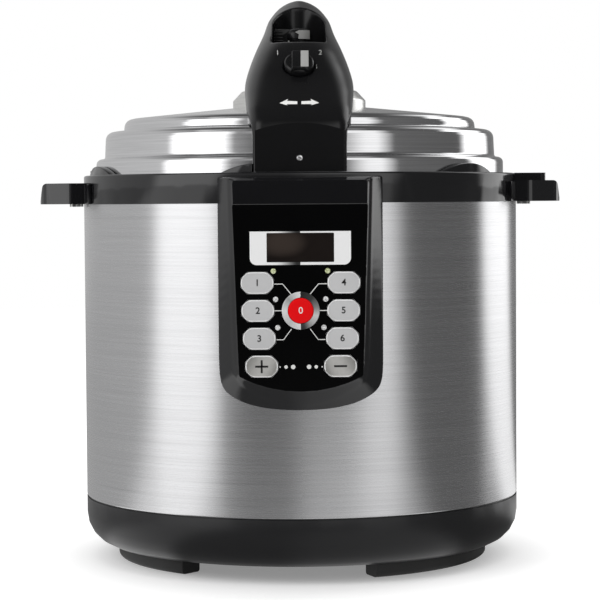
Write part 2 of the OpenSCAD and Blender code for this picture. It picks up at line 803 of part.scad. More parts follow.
module drip_spout() color("#3a3a3c") difference() {
    union() {
        rod(0, spout_y, spout_r, spout_z - spout_r, channel_z);
        lead(0, spout_y, spout_z, spout_r, cup_face - 4 - spout_y);
    }
    rod(0, spout_y, spout_bore, spout_z, channel_z + past);
    lead(0, spout_y, spout_z, spout_bore, cup_face - spout_y);
}

module condensate_cup() color("#c9d3d8") {
    difference() {
        standing(cup_back, cup_face) polygon(rounded([[-cup_w / 2, cup_low, 5], [cup_w / 2, cup_low, 5],
            [cup_w / 2, cup_top, 0], [-cup_w / 2, cup_top, 0]]));
        half = cup_w / 2 - cup_t;
        standing(cup_back + cup_t, cup_face - cup_t) polygon(rounded([
            [-half, cup_low + cup_t, 4], [half, cup_low + cup_t, 4],
            [half, cup_top + past, 0], [-half, cup_top + past, 0]]));
    }
}

/* Lid */

// The lid's face from the axis to the skirt, moved out by a distance
function lid_face(d) = [
    [0, dome_z + d, 0], [dome_r, dome_z + d, 0], [lid_r3 + d, step_3_z + d, 6 + d],
    [lid_r3 + lid_taper + d, step_2_z + d, 2 - d / 2], [lid_r2 + d, step_2_z + d, 6 + d],
    [lid_r2 + lid_taper + d, step_1_z + d, 2 - d / 2], [lid_r + d, step_1_z + d, 4 + d],
    [lid_r + d, skirt_z, 0]];

// Places of what passes through the lid
valve_y = -36;
stem_r = 4;
stem_bore = 2.5;
float_x = -11;
float_y = -44;
float_r = 2.5;
fixing_x = 24;
fixing_y = -10;
fixing_r = 2;
boss_t = 1.6;
plate_screw_z = rim_z + 9.8;
plate_screw_r = 1.4;

module lid_bores(z_low, z_high) {
    rod(0, valve_y, stem_r + 0.1, z_low, z_high);
    rod(float_x, float_y, float_r + 0.1, z_low, z_high);
}

module fixing_bores(z_low, z_high) {
    for (x = [-fixing_x, fixing_x]) rod(x, fixing_y, fixing_r + 0.1, z_low, z_high);
}

module lid_shell() color("#d4d5d6") {
    difference() {
        turned(concat(lid_face(0), reverse(lid_face(-lid_t))));
        lid_bores(dome_z - 10, dome_z + past);
        fixing_bores(dome_z - 10, dome_z + past);
        lead(0, -lid_r - past, plate_screw_z, plate_screw_r + run, 10);
    }
    for (i = [0:lug_count - 1])
        sector(lug_in, skirt_in + 0.5, skirt_z, lug_top, (i + 0.5) * 360 / lug_count, lug_angle);
}

module lid_boss() color("#dcdcd9") difference() {
    turned([[0, dome_z + 0.1, 0], [boss_r, dome_z + 0.1, 0], [boss_r, dome_z + 6, 2],
        [boss_r - 7, boss_top - 1.5, 4], [0, boss_top, 0]]);
    turned([[0, dome_z - past, 0], [boss_r - boss_t, dome_z - past, 0], [boss_r - boss_t, dome_z + 5.4, 1],
        [boss_r - 8, boss_top - 1.5 - boss_t, 2], [0, boss_top - boss_t, 0]]);
    lid_bores(dome_z - past, boss_top + past);
    fixing_bores(dome_z - past, boss_top + past);
}

hump_angle = 21;
hump_half = lid_r * sin(hump_angle / 2);
hump_arch = (hump_half * hump_half + hump_h * hump_h) / (2 * hump_h);
hump_azimuth = 50;

// The ring round the lid's rim, with an arched hump over each lug
module lid_trim_ring() color("#141415") difference() {
    intersection() {
        tube(lid_r + gap, trim_r, trim_z, rim_z + hump_h + past);
        union() {
            rod(0, 0, body_r, trim_z - past, rim_z);
            for (i = [0:lug_count - 1]) rotate([0, 0, hump_azimuth + i * 360 / lug_count])
                lead(0, -body_r, rim_z + hump_h - hump_arch, hump_arch, body_r / 2);
        }
    }
    block([-plate_w / 2 - gap, -body_r, rim_z], [plate_w / 2 + gap, -body_r / 2, rim_z + 20]);
}

module inner_lid() color("#b8babb") {
    difference() {
        turned([[0, inner_lid_z + inner_lid_t, 0], [seal_in - 11, inner_lid_z + inner_lid_t, 3],
            [seal_in - 3, seal_top + inner_lid_t + gap, 0], [inner_lid_r, seal_top + inner_lid_t + gap, 2],
            [inner_lid_r, flange_z + 4, 0], [inner_lid_r - inner_lid_t, flange_z + 4, 0],
            [inner_lid_r - inner_lid_t, seal_top + gap, 0], [seal_in - 4, seal_top + gap, 0],
            [seal_in - 12, inner_lid_z, 3], [0, inner_lid_z, 0]]);
        lid_bores(inner_lid_z - past, inner_lid_z + inner_lid_t + past);
    }
    for (a = [0, 120, 240]) rotate([0, 0, a + 90])
        rod(40, 0, 3, inner_lid_z + inner_lid_t / 2, dome_z - lid_t - 0.1);
}

rack_r = 1.2;

// Wire ring on three hooks, which keeps the sealing ring in its channel
module ring_rack() color("#c2c4c6") {
    rotate_extrude() translate([seal_in - 3, seal_z + 3]) circle(r = rack_r, $fn = 24);
    for (a = [0, 120, 240]) rotate([0, 0, a])
        rod(seal_in - 3, 0, rack_r * 0.8, seal_z + 3, seal_top + gap / 2);
}

module sealing_ring() color("#e9e7e1") {
    turned([[seal_r, seal_z + 1.5, 0], [seal_r, seal_top, 1],
        [seal_in + 3, seal_top, 1], [seal_in + 3, seal_top - 2.6, 0],
        [seal_in + 9, seal_top - 3.6, 1], [seal_in + 9, seal_z + 3.6, 1],
        [seal_in + 1, seal_z + 1.8, 0], [seal_in + 1, seal_z, 0], [seal_r - 1.5, seal_z, 0]]);
}

/* Lid handle */

// Rows of the hood: height above the rim, half-width, front, back, and squareness of the section
hood_rows = [
    [12.9, 35.6, -154.2, 44, 8], [28.4, 36.7, -154.2, 44, 8], [34.4, 37.3, -152.8, 44, 8],
    [39, 37.7, -149.8, 44, 7.5], [44.9, 38.3, -144.2, 44, 7], [49.4, 38.9, -139.2, 44, 6],
    [54.4, 39.5, -133.2, 44.3, 5.2], [59.9, 40, -126.5, 44.5, 4.6], [68.4, 39.4, -117, 43.8, 3.9],
    [80.4, 36.2, -105.5, 42.5, 3.3], [92.4, 31.8, -92, 40.5, 2.9], [104.4, 26.8, -71, 38, 2.6],
    [114.4, 23.7, -47, 35.5, 2.4], [119.4, 21.2, -33, 33.5, 2.3], [125.2, 17.2, -14, 30, 2.2],
    [129.2, 13, -3, 26.5, 2.1], [132.2, 7.8, 5, 20.5, 2], [133.8, 2.5, 9, 16, 2]];
hood_scale = [hood_w / 80, lid_r / 155.3, hood_h / 133.8];
hood_sides = 32;

function power(v, p) = sign(v) * pow(abs(v), p);
function hood_z(row) = rim_z + row[0] * hood_scale[2];
function hood_front(row) = row[2] * hood_scale[1];
function hood_ring(row) =
    let (middle = (row[3] + hood_front(row)) / 2, half = (row[3] - hood_front(row)) / 2,
         wide = row[1] * hood_scale[0], bend = 2 / row[4])
    [for (k = [0:hood_sides - 1]) let (a = 360 * (k + 0.5) / hood_sides)
        [wide * power(cos(a), bend), middle + half * power(sin(a), bend), hood_z(row)]];
front_line = [for (row = hood_rows) [hood_z(row), hood_front(row)]];

// The knob sits square on the hood's front, and the valve stands on a shelf near its top
knob_z = rim_z + 77 * hood_scale[2];
knob_seat = [0, lookup(knob_z, front_line), knob_z];
knob_rise = 10;
knob_run = lookup(knob_z + knob_rise, front_line) - lookup(knob_z - knob_rise, front_line);
knob_tilt = atan2(2 * knob_rise, knob_run);
knob_sink = 3;
knob_proud = 4;
shaft_r = 3;
shaft_l = 12;
shelf_z = rim_z + 95.4 * hood_scale[2];
pocket_r = 16;
pocket_y = -26;
shelf_half = 21.5;
grip_recess_y = 16;
grip_recess_low = boss_top + 9;
grip_recess_top = shelf_z + 5;
grip_recess_half = 26;
keeper_r = 4;
keeper_z = boss_top + 1;

// What the knob's axis calls up, from its seat outwards
module at_knob() {
    translate(knob_seat) rotate([knob_tilt, 0, 0]) children();
}

module lid_handle() color("#1b1b1c") difference() {
    lofted([for (row = hood_rows) hood_ring(row)]);
    turned(concat([[0, skirt_z, 0], [0, boss_top + gap, 0], [boss_r - 7, boss_top + gap - 1.2, 4],
        [boss_r + gap, dome_z + 6.2, 2]], [for (i = [1:7]) lid_face(gap)[i]]));
    hull() {
        translate([0, pocket_y, shelf_z]) cylinder(r = pocket_r, h = 60, $fn = 32);
        block([-shelf_half, -lid_r, shelf_z], [shelf_half, valve_y + 2, shelf_z + 60]);
    }
    at_knob() translate([0, 0, -knob_sink]) cylinder(r = knob_r + gap, h = 30);
    at_knob() translate([0, 0, -knob_sink - shaft_l - 1]) cylinder(r = shaft_r + run, h = 30);
    finger_recess();
    rod(0, valve_y, stem_r + 0.2, boss_top - 20, shelf_z + past);
    rod(float_x, float_y, float_r + 0.1, boss_top - 20, shelf_z + past);
    rod(float_x, float_y, keeper_r + gap, boss_top - 20, keeper_z + 2 + float_travel + gap);
    for (x = [-fixing_x, fixing_x]) rod(x, fixing_y, fixing_r + run, boss_top - 20, boss_top + 20);
}

// The hollow behind the hood that the fingers reach into
module finger_recess() {
    standing(grip_recess_y, 60) polygon(rounded([
        [-grip_recess_half, grip_recess_low, 6], [grip_recess_half, grip_recess_low, 6],
        [grip_recess_half - 8, grip_recess_top, 8], [8 - grip_recess_half, grip_recess_top, 8]]));
}

plate_front = -lid_r - 2.2;
plate_low = rim_z + 0.4;
plate_side = hood_z(hood_rows[1]);
plate_mid = hood_z(hood_rows[2]);
screw_head_r = 2.1;

module handle_plate() color("#19191a") difference() {
    intersection() {
        standing(plate_front, plate_front + 8) polygon(concat(
            [[plate_w / 2, plate_low], [-plate_w / 2, plate_low]],
            bowed(plate_w / 2, plate_side, plate_mid, 12)));
        lying(plate_low - past, plate_mid + past) polygon(rounded([
            [plate_w / 2, plate_front + 9, 0], [-plate_w / 2, plate_front + 9, 0],
            [-plate_w / 2, plate_front, 2.5], [plate_w / 2, plate_front, 2.5]]));
    }
    rod(0, 0, lid_r + gap, plate_low - past, step_1_z + gap);
    block([-plate_w, hood_front(hood_rows[0]) - gap, step_1_z + gap - 0.1], [plate_w, 0, plate_mid + past]);
    lead(0, plate_front - past, plate_screw_z, plate_screw_r + 0.1, 10);
    lead(0, plate_front - past, plate_screw_z, screw_head_r + 0.1, 1 + past);
}

module plate_screw() color("#e3e4e5") {
    lead(0, plate_front + 0.1, plate_screw_z, screw_head_r, 0.9);
    lead(0, plate_front + 0.1, plate_screw_z, plate_screw_r, 6.9);
}

module lid_handle_screws() color("#b9bbbd") {
    for (x = [-fixing_x, fixing_x])
        screw(x, fixing_y, dome_z - lid_t - 2.6, 2.5, 3.5, fixing_r, boss_top + 18);
}

/* Valves and knob */

module steam_stem() color("#c9b36a") difference() {
    union() {
        rod(0, valve_y, stem_r, inner_lid_z - 3, shelf_z + 3.4);
        rod(0, valve_y, 8, inner_lid_z - 3, inner_lid_z - 0.1);
        rod(0, valve_y, 7, inner_lid_z + inner_lid_t + 0.1, dome_z - lid_t - 0.1);
    }
    rod(0, valve_y, stem_bore, inner_lid_z - 3 - past, shelf_z + 4);
}

module steam_shield() color("#aeb0b2") difference() {
    rod(0, valve_y, 8, inner_lid_z - 15, inner_lid_z - 3 - 0.1);
    rod(0, valve_y, 6.8, inner_lid_z - 13.8, inner_lid_z - 4.2);
    rod(0, valve_y, stem_bore, inner_lid_z - 5, inner_lid_z);
    for (a = [0, 60, 120]) translate([0, valve_y, 0]) rotate([0, 0, a])
        block([-10, -1.2, inner_lid_z - 12], [10, 1.2, inner_lid_z - 6]);
}

valve_h = 11;
valve_z = shelf_z + gap;
lever_reach = 19;
lever_h = 13;

// The cap over the stem, with a ribbed lever to its left
module limiting_valve() color("#202021") translate([0, valve_y, valve_z]) difference() {
    union() {
        turned([[0, 0, 0], [valve_r, 0, 0.8], [valve_r, valve_h, 2], [0, valve_h, 0]]);
        block([-lever_reach + 1, -4, 1.5], [0, 4, valve_h - 1]);
        block([-lever_reach + 1, -4, 1.5], [-valve_r - 1, 4, lever_h]);
        for (i = [0:4]) block([-lever_reach, -5, 3.4 + 2.2 * i], [-lever_reach + 8, 5, 4.5 + 2.2 * i]);
    }
    translate([0, 0, -past]) cylinder(r = stem_r + run, h = 4.4 + past);
}

module selector_knob() color("#1d1d1e") at_knob() {
    translate([0, 0, gap - knob_sink])
        turned([[0, 0, 0], [knob_r, 0, 0],
            [knob_r, knob_sink + knob_proud, 1.5], [0, knob_sink + knob_proud, 0]]);
    block([-2.6, -knob_r + 1.5, knob_proud], [2.6, knob_r - 1.5, knob_proud + 2.6]);
    translate([0, 0, -knob_sink - shaft_l]) cylinder(r = shaft_r, h = shaft_l + 2);
}

float_head_z = inner_lid_z - float_travel - 4.1;

// Pin with a silicone seal on its head, a keeper above the boss, and its tip at the hood's shelf
module float_valve() color("#c0c2c4") {
    rod(float_x, float_y, float_r, float_head_z, shelf_z + 0.6);
    rod(float_x, float_y, 5, float_head_z, float_head_z + 2.2);
    rod(float_x, float_y, keeper_r, keeper_z, keeper_z + 2);
    translate([float_x, float_y, 0]) tube(float_r + run, 4.8, float_head_z + 2.3, float_head_z + 3.8);
}

base_shell();
bottom_cover();
housing_screws();
foot(foot_azimuth);  // foot_front_right
foot(foot_azimuth + 120);  // foot_rear
foot(foot_azimuth + 240);  // foot_front_left
outer_shell();
collar();
handle_left();
handle_right();
handle_screws();
panel_bezel();
panel_film();
display_window();
display_module();
control_board();
key_switches();
indicator_lenses();
stop_key_ring();
for (i = [0:3]) key(-1, i);
for (i = [0:3]) key(1, i);
stop_key();
outer_pot();
heating_plate();
heating_element();
plate_posts();
sensor_housing();
sensor_spring();
thermal_sensor();
pressure_switch();
thermal_fuse();
power_board();
power_inlet();
cup_bracket();
drip_spout();
condensate_cup();
inner_pot();
sealing_ring();
ring_rack();
inner_lid();
lid_shell();
lid_boss();
lid_trim_ring();
lid_handle();
handle_plate();
plate_screw();
lid_handle_screws();
steam_stem();
steam_shield();
limiting_valve();
selector_knob();
float_valve();
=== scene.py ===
import math

import bpy
from mathutils import Matrix, Vector


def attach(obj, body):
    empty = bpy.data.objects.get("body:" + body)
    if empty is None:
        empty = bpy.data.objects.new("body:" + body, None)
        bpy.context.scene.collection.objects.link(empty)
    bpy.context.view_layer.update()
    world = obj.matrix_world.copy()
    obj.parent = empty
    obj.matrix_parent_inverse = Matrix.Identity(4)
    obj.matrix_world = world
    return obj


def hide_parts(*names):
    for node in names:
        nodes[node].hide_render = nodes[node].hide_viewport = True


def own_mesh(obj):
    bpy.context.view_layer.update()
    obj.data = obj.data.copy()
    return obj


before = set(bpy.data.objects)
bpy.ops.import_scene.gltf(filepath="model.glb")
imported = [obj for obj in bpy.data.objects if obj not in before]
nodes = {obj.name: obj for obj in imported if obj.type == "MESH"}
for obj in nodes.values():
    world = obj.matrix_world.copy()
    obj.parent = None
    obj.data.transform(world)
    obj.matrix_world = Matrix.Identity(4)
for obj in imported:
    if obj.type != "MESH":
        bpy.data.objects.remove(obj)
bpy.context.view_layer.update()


# The studio. A long lens looks at the front from just above the collar's lower edge, in a white
# room with soft boxes on both sides and above, over a pale floor.
LENS_LENGTH, SENSOR_WIDTH = 133.3, 36
LENS_PLACE = (0, -1.708, 0.268)
LENS_TURN = (87.5, 0.4, 0)

lens = bpy.data.cameras.new("camera")
lens.lens = LENS_LENGTH
lens.sensor_width = SENSOR_WIDTH
camera = bpy.data.objects.new("camera", lens)
camera.location = LENS_PLACE
camera.rotation_euler = [math.radians(turn) for turn in LENS_TURN]
bpy.context.scene.collection.objects.link(camera)
bpy.context.scene.camera = camera
bpy.context.scene.view_settings.view_transform = "Standard"


class Wire:
    """An output of a shader node. Arithmetic on it adds Math nodes."""

    def __init__(self, tree, socket):
        self.tree = tree
        self.socket = socket

    def node(self, kind, settings, sockets, output=0):
        """Adds a node, makes its settings, feeds its sockets with values or wires, and gives an output."""
        made = self.tree.nodes.new(kind)
        for name, value in settings.items():
            if name == "stops":
                ramp = made.color_ramp.elements
                while len(ramp) < len(value):
                    ramp.new(1.0)
                for stop, (position, shade) in zip(ramp, value):
                    stop.position = position
                    stop.color = shade
            else:
                setattr(made, name, value)
        for name, value in sockets.items():
            if isinstance(value, Wire):
                self.tree.links.new(value.socket, made.inputs[name])
            else:
                made.inputs[name].default_value = value
        return Wire(self.tree, made.outputs[output])

    def maths(self, operation, first, second=0.0):
        return self.node("ShaderNodeMath", {"operation": operation}, {0: first, 1: second})

    def __add__(self, other):
        return self.maths("ADD", self, other)

    def __sub__(self, other):
        return self.maths("SUBTRACT", self, other)

    def __mul__(self, other):
        return self.maths("MULTIPLY", self, other)

    def __truediv__(self, other):
        return self.maths("DIVIDE", self, other)

    def __rsub__(self, other):
        return self.maths("SUBTRACT", other, self)

    __radd__ = __add__
    __rmul__ = __mul__

    def rise(self, low, high, start=0.0, end=1.0):
        """A smooth step from start to end as this value goes from low to high."""
        return self.node("ShaderNodeMapRange", {"interpolation_type": "SMOOTHSTEP"},
                         {"Value": self, "From Min": low, "From Max": high, "To Min": start, "To Max": end})

    def blend(self, first, second):
        """A colour that goes from first to second as this value goes from 0 to 1."""
        return self.node("ShaderNodeMix", {"data_type": "RGBA"}, {0: self, 6: first, 7: second}, 2)

    def parts(self):
        """The x, y and z of this vector."""
        split = self.node("ShaderNodeSeparateXYZ", {}, {0: self})
        return [Wire(self.tree, socket) for socket in split.socket.node.outputs]

    def feed(self, shader, socket):
        self.tree.links.new(self.socket, shader.inputs[socket])


def rays(tree):
    """Whether a ray comes from the camera, from gloss, or through something clear."""
    path = tree.nodes.new("ShaderNodeLightPath")
    return [Wire(tree, path.outputs[f"Is {kind} Ray"]) for kind in ("Camera", "Glossy", "Transmission")]


# What metal and gloss show of the room: brightness by direction round the object in degrees from
# the front, the ceiling between two heights, and the dark wall behind the camera, up to some
# degrees of height and some degrees to each side.
ROOM_TONES = [(-180, 0.6), (-83, 0.72), (-77, 2.0), (-45, 1.9), (-38, 0.4), (-6, 0.5), (4, 1.0), (25, 1.3),
              (46, 1.4), (56, 0.18), (107, 0.14), (114, 2.0), (140, 2.0), (147, 0.2), (176, 0.3)]
ROOM_LEVEL, ROOM_FILL = 1.74, 0.6
CEILING_FROM, CEILING_TO, CEILING_TONE = 0.55, 0.9, 0.1
WALL_TONE, WALL_TOP, WALL_WIDTH, WALL_FADE = 0.06, 7, 40, 20

world = bpy.data.worlds.new("studio")
bpy.context.scene.world = world
world.use_nodes = True
world.cycles.sampling_method = "NONE"
tree = world.node_tree
tree.nodes.clear()
sky = Wire(tree, tree.nodes.new("ShaderNodeTexCoord").outputs["Generated"])
ray_x, ray_y, ray_z = sky.parts()
azimuth = sky.maths("ARCTAN2", ray_x, 0 - ray_y) * math.degrees(1)
tones = {"stops": [((start + 180) / 360, (tone / 2, tone / 2, tone / 2, 1)) for start, tone in ROOM_TONES]}
room = ROOM_LEVEL * sky.node("ShaderNodeValToRGB", tones, {0: azimuth / 360 + 0.5})
upward = ray_z.rise(CEILING_FROM, CEILING_TO)
steepness = sky.maths("ABSOLUTE", sky.maths("ARCSINE", ray_z)) * math.degrees(1)
aside = sky.maths("ABSOLUTE", azimuth)
wall = (steepness.rise(WALL_TOP * 0.6, WALL_TOP * 1.8, 1.0, 0.0)
        * aside.rise(WALL_WIDTH - WALL_FADE, WALL_WIDTH, 1.0, 0.0))
reflected = room * (1 - wall * (1 - WALL_TONE)) * (1 - upward) + upward * CEILING_TONE
seen, in_gloss, seen_through = rays(tree)
shown = sky.maths("MAXIMUM", seen, seen_through)
light = shown + (1 - shown) * (in_gloss * reflected + (1 - in_gloss) * ROOM_FILL)
light = sky.node("ShaderNodeBackground", {}, {"Color": (1, 1, 1, 1), "Strength": light})
tree.links.new(light.socket, tree.nodes.new("ShaderNodeOutputWorld").inputs["Surface"])

# Soft boxes, aimed at the cooker: direction round it, height in degrees, distance, size and power.
# Each gives light and soft shadow only, because the room above holds its reflection.
AIM_HEIGHT = 0.2
for name, around, above, distance, width, tall, watts in [
        ("key_lamp", -58, 32, 1.7, 1.0, 1.2, 9), ("side_lamp", 128, 25, 1.6, 0.5, 1.2, 5),
        ("top_lamp", 0, 84, 1.5, 1.4, 1.4, 6)]:
    box = bpy.data.lights.new(name, "AREA")
    box.shape = "RECTANGLE"
    box.size = width
    box.size_y = tall
    box.energy = watts
    stand = bpy.data.objects.new(name, box)
    bpy.context.scene.collection.objects.link(stand)
    turn, height = math.radians(around), math.radians(above)
    level = math.cos(height)
    towards = Vector((math.sin(turn) * level, -math.cos(turn) * level, math.sin(height)))
    stand.location = Vector((0, 0, AIM_HEIGHT)) + towards * distance
    stand.rotation_euler = (-towards).to_track_quat("-Z", "Y").to_euler()
    stand.visible_glossy = False
    stand.visible_camera = False

# The floor is matt paper, lifted to white where it is looked at, with a painted shadow under the
# cooker where that lift is weaker. In gloss it is dark near the feet and takes the room's tones further out.
FLOOR_SIZE, FLOOR_SHINE = 8, 0.58
SHADE_IN, SHADE_OUT, SHADE_TONE = 0.12, 0.3, 0.42
DARK_IN, DARK_OUT, DARK_TONE, FLOOR_GLOSS = 0.7, 1.5, 0.06, 1.05

bpy.ops.object.select_all(action="DESELECT")
bpy.ops.mesh.primitive_plane_add(size=FLOOR_SIZE, location=(0, 0, 0))
floor = bpy.context.object
floor.name = "floor"
floor.data.name = "floor"
paper = bpy.data.materials.new("floor_paper")
paper.use_nodes = True
tree = paper.node_tree
tree.nodes.clear()
seen, in_gloss, seen_through = rays(tree)
matt = seen.node("ShaderNodeBsdfDiffuse", {}, {"Color": (0.8, 0.8, 0.8, 1)})
x, y, z = Wire(tree, tree.nodes.new("ShaderNodeTexCoord").outputs["Object"]).parts()
away = x.maths("SQRT", x * x * 1.7 + (y + 0.03) * (y + 0.03))
# Painted shadow: the white lift falls to SHADE_TONE under the cooker.
shade = away.rise(SHADE_IN, SHADE_OUT, SHADE_TONE, 1.0)
shine = seen.node("ShaderNodeEmission", {}, {"Strength": (seen + seen_through) * shade * FLOOR_SHINE})
plain = seen.node("ShaderNodeAddShader", {}, {0: matt, 1: shine})
turn = x.maths("ARCTAN2", x, 0 - y) / math.tau + 0.5
beside = turn.maths("ABSOLUTE", turn - 0.5).rise((WALL_WIDTH - WALL_FADE) / 360, WALL_WIDTH / 360)
near = x.maths("MAXIMUM", x.maths("SQRT", x * x + y * y).rise(DARK_IN, DARK_OUT, 1.0, 0.0), beside)
mirrored = near * FLOOR_GLOSS * x.node("ShaderNodeValToRGB", tones, {0: turn}) + DARK_TONE
dark = seen.node("ShaderNodeEmission", {}, {"Strength": mirrored})
both = seen.node("ShaderNodeMixShader", {}, {0: in_gloss, 1: plain, 2: dark})
tree.links.new(both.socket, tree.nodes.new("ShaderNodeOutputMaterial").inputs["Surface"])
floor.data.materials.append(paper)


# Base: a deep moulding that carries the whole cooker, closed below by a vented cover plate. Both are
# dark satin plastic with a fine spark-eroded grain, and the cover is screwed on from below.
def start_finish(name, colour, roughness, **constants):
    """A new material: its shader with these constants, and the wire of the piece's own coordinates."""
    made = bpy.data.materials.new(name)
    made.use_nodes = True
    shader = made.node_tree.nodes["Principled BSDF"]
    shader.inputs["Base Color"].default_value = (*colour, 1)
    shader.inputs["Roughness"].default_value = roughness
    for socket, value in constants.items():
        shader.inputs[socket.replace("_", " ")].default_value = value
    place = Wire(made.node_tree, made.node_tree.nodes.new("ShaderNodeTexCoord").outputs["Object"])
    return made, shader, place


def noise(place, scale, detail=2.0, roughness=0.5):
    return place.node("ShaderNodeTexNoise", {}, {"Vector": place, "Scale": scale, "Detail": detail,
                                                 "Roughness": roughness})


def dim(colour, share):
    return tuple(min(1, channel * share) for channel in colour) + (1,)


def bump(place, height, strength, distance, shader):
    place.node("ShaderNodeBump", {}, {"Strength": strength, "Distance": distance, "Height": height}
               ).feed(shader, "Normal")


def moulded(name, colour, roughness, grain=0.00006, **constants):
    """Moulded plastic: a fine grain, and a slow drift in its colour and its gloss."""
    made, shader, place = start_finish(name, colour, roughness, **constants)
    drift = noise(place, 14, 3)
    fine = noise(place, 1600, 2)
    drift.blend(dim(colour, 0.86), dim(colour, 1.14)).feed(shader, "Base Color")
    (roughness - 0.05 + drift * 0.06 + fine * 0.05).feed(shader, "Roughness")
    bump(place, fine, 0.5, grain, shader)
    return made


def dress(finish, *names):
    """Gives a finish to CAD nodes."""
    for name in names:
        nodes[name].data.materials.clear()
        nodes[name].data.materials.append(finish)


SAME_POINT = 0.000002


def soften(width, *names):
    """Rounds the sharp edges of CAD nodes by a width in mm, with live modifiers."""
    for name in names:
        weld = nodes[name].modifiers.new("weld", "WELD")
        weld.merge_threshold = SAME_POINT
        edge = nodes[name].modifiers.new("edge", "BEVEL")
        edge.width = width / 1000
        edge.segments = 2
        edge.limit_method = "ANGLE"
        edge.angle_limit = math.radians(35)
        edge.harden_normals = True


base_black = moulded("base_plastic", (0.013, 0.013, 0.014), 0.34, Specular_IOR_Level=0.3)
dress(base_black, "base_shell", "bottom_cover")
soften(0.4, "base_shell")


# Feet: three arc-shaped pads of dull black rubber, one at the rear and two in front, pressed into the
# underside of the base.
feet_rubber = moulded("rubber_feet", (0.022, 0.022, 0.022), 0.72, 0.00012)
dress(feet_rubber, "foot_front_right", "foot_rear", "foot_front_left")


# Screws of the housing, of the side handles and of the lid's handle: steel, turned and zinc plated,
# driven from hidden sides.
def stretched(place, scale):
    return place.node("ShaderNodeMapping", {}, {"Vector": place, "Scale": scale})


def turned_metal(name, colour, roughness, rings=900):
    """Turned metal: fine rings from the tool, and small changes in its gloss."""
    made, shader, place = start_finish(name, colour, roughness, Metallic=1.0)
    cloud = noise(place, 220, 3)
    trace = noise(stretched(place, (1, 1, 6)), rings, 1)
    cloud.blend(dim(colour, 0.9), dim(colour, 1.06)).feed(shader, "Base Color")
    (roughness - 0.05 + cloud * 0.08 + trace * 0.06).feed(shader, "Roughness")
    bump(place, trace, 0.4, 0.00003, shader)
    return made


zinc = turned_metal("zinc_screws", (0.62, 0.62, 0.6), 0.32)
dress(zinc, "housing_screws", "handle_screws", "lid_handle_screws")


# Outer pot: the deep-drawn steel pot that takes the cooking pot, with the bayonet flange at its rim.
# The posts that carry the heating plate stand on its floor.
def cast_metal(name, colour, roughness, pits=700):
    """Cast or drawn metal: soft mottling and small pits."""
    made, shader, place = start_finish(name, colour, roughness, Metallic=1.0)
    cloud = noise(place, 60, 4)
    small = noise(place, pits, 2)
    cloud.blend(dim(colour, 0.82), dim(colour, 1.08)).feed(shader, "Base Color")
    (roughness - 0.08 + cloud * 0.12 + small * 0.06).feed(shader, "Roughness")
    bump(place, small, 0.5, 0.00008, shader)
    return made


pot_steel = cast_metal("pot_steel", (0.55, 0.55, 0.56), 0.3, 300)
dress(pot_steel, "outer_pot", "plate_posts")


# Heating plate: an aluminium casting with the sheathed element cast into its underside. It rests on
# the posts, and the inner pot stands on it.
cast_alloy = cast_metal("cast_aluminium", (0.72, 0.72, 0.73), 0.36)
dress(cast_alloy, "heating_plate")
dress(cast_metal("element_sheath", (0.2, 0.175, 0.16), 0.5), "heating_element")


# Thermal sensor: an aluminium cap in the middle of the plate, over a ceramic housing. A coil of round
# spring wire holds it up against the pot.
def wrap(name, across, along, place):
    """A fine grid of faces, laid out by a rule that takes shares from 0 to 1 across and along it."""
    bpy.ops.object.select_all(action="DESELECT")
    bpy.ops.mesh.primitive_grid_add(x_subdivisions=across, y_subdivisions=along, size=2, location=(0, 0, 0))
    piece = bpy.context.object
    piece.name = name
    piece.data.name = name
    for vertex in piece.data.vertices:
        vertex.co = place(vertex.co.x / 2 + 0.5, vertex.co.y / 2 + 0.5)
    return piece


def choose(*pieces):
    """Selects these pieces alone, with the first one active."""
    bpy.ops.object.select_all(action="DESELECT")
    for piece in pieces:
        piece.select_set(True)
    bpy.context.view_layer.objects.active = pieces[0]


def close(piece, capped=True):
    """Joins the seam, closes the open ends and turns the faces outwards."""
    choose(piece)
    bpy.ops.object.mode_set(mode="EDIT")
    bpy.ops.mesh.select_all(action="SELECT")
    bpy.ops.mesh.remove_doubles(threshold=SAME_POINT)
    if capped:
        bpy.ops.mesh.select_mode(type="EDGE")
        bpy.ops.mesh.select_all(action="DESELECT")
        bpy.ops.mesh.select_non_manifold(extend=False, use_wire=False, use_multi_face=False,
                                         use_non_contiguous=False, use_verts=False)
        bpy.ops.mesh.fill_holes(sides=0)
    bpy.ops.mesh.select_all(action="SELECT")
    bpy.ops.mesh.normals_make_consistent(inside=False)
    bpy.ops.object.mode_set(mode="OBJECT")
    return piece


def smooth(piece, angle=35):
    choose(piece)
    bpy.ops.object.shade_smooth_by_angle(angle=math.radians(angle))
    return piece


def fit(piece, body, slot, *finishes):
    """The piece's finishes and the body that it rides on; its slot argument is not used."""
    held = piece.data.materials
    for k, finish in enumerate(finishes):
        if k < len(held):
            held[k] = finish
        else:
            held.append(finish)
    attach(piece, body)
    return piece


COIL_R, WIRE_R, COIL_TURNS, COIL_LOW, COIL_HIGH = 13, 0.8, 5, 55.3, 71.6


def coil_place(share, step):
    around, turn = share * math.tau, step * COIL_TURNS * math.tau
    reach = COIL_R + WIRE_R * math.cos(around)
    height = COIL_LOW + (COIL_HIGH - COIL_LOW) * step + WIRE_R * math.sin(around)
    return Vector((reach * math.cos(turn), reach * math.sin(turn), height)) / 1000


dress(cast_alloy, "thermal_sensor")
ceramic = moulded("sensor_ceramic", (0.72, 0.69, 0.62), 0.6)
dress(ceramic, "sensor_housing")
spring_steel = turned_metal("spring_steel", (0.6, 0.6, 0.62), 0.25)
dress(spring_steel, "sensor_spring")
coil = smooth(close(wrap("sensor_coil", 12, 300, coil_place)), 60)
fit(coil, "root", "spring_steel", spring_steel)
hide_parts("sensor_spring")
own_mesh(coil)


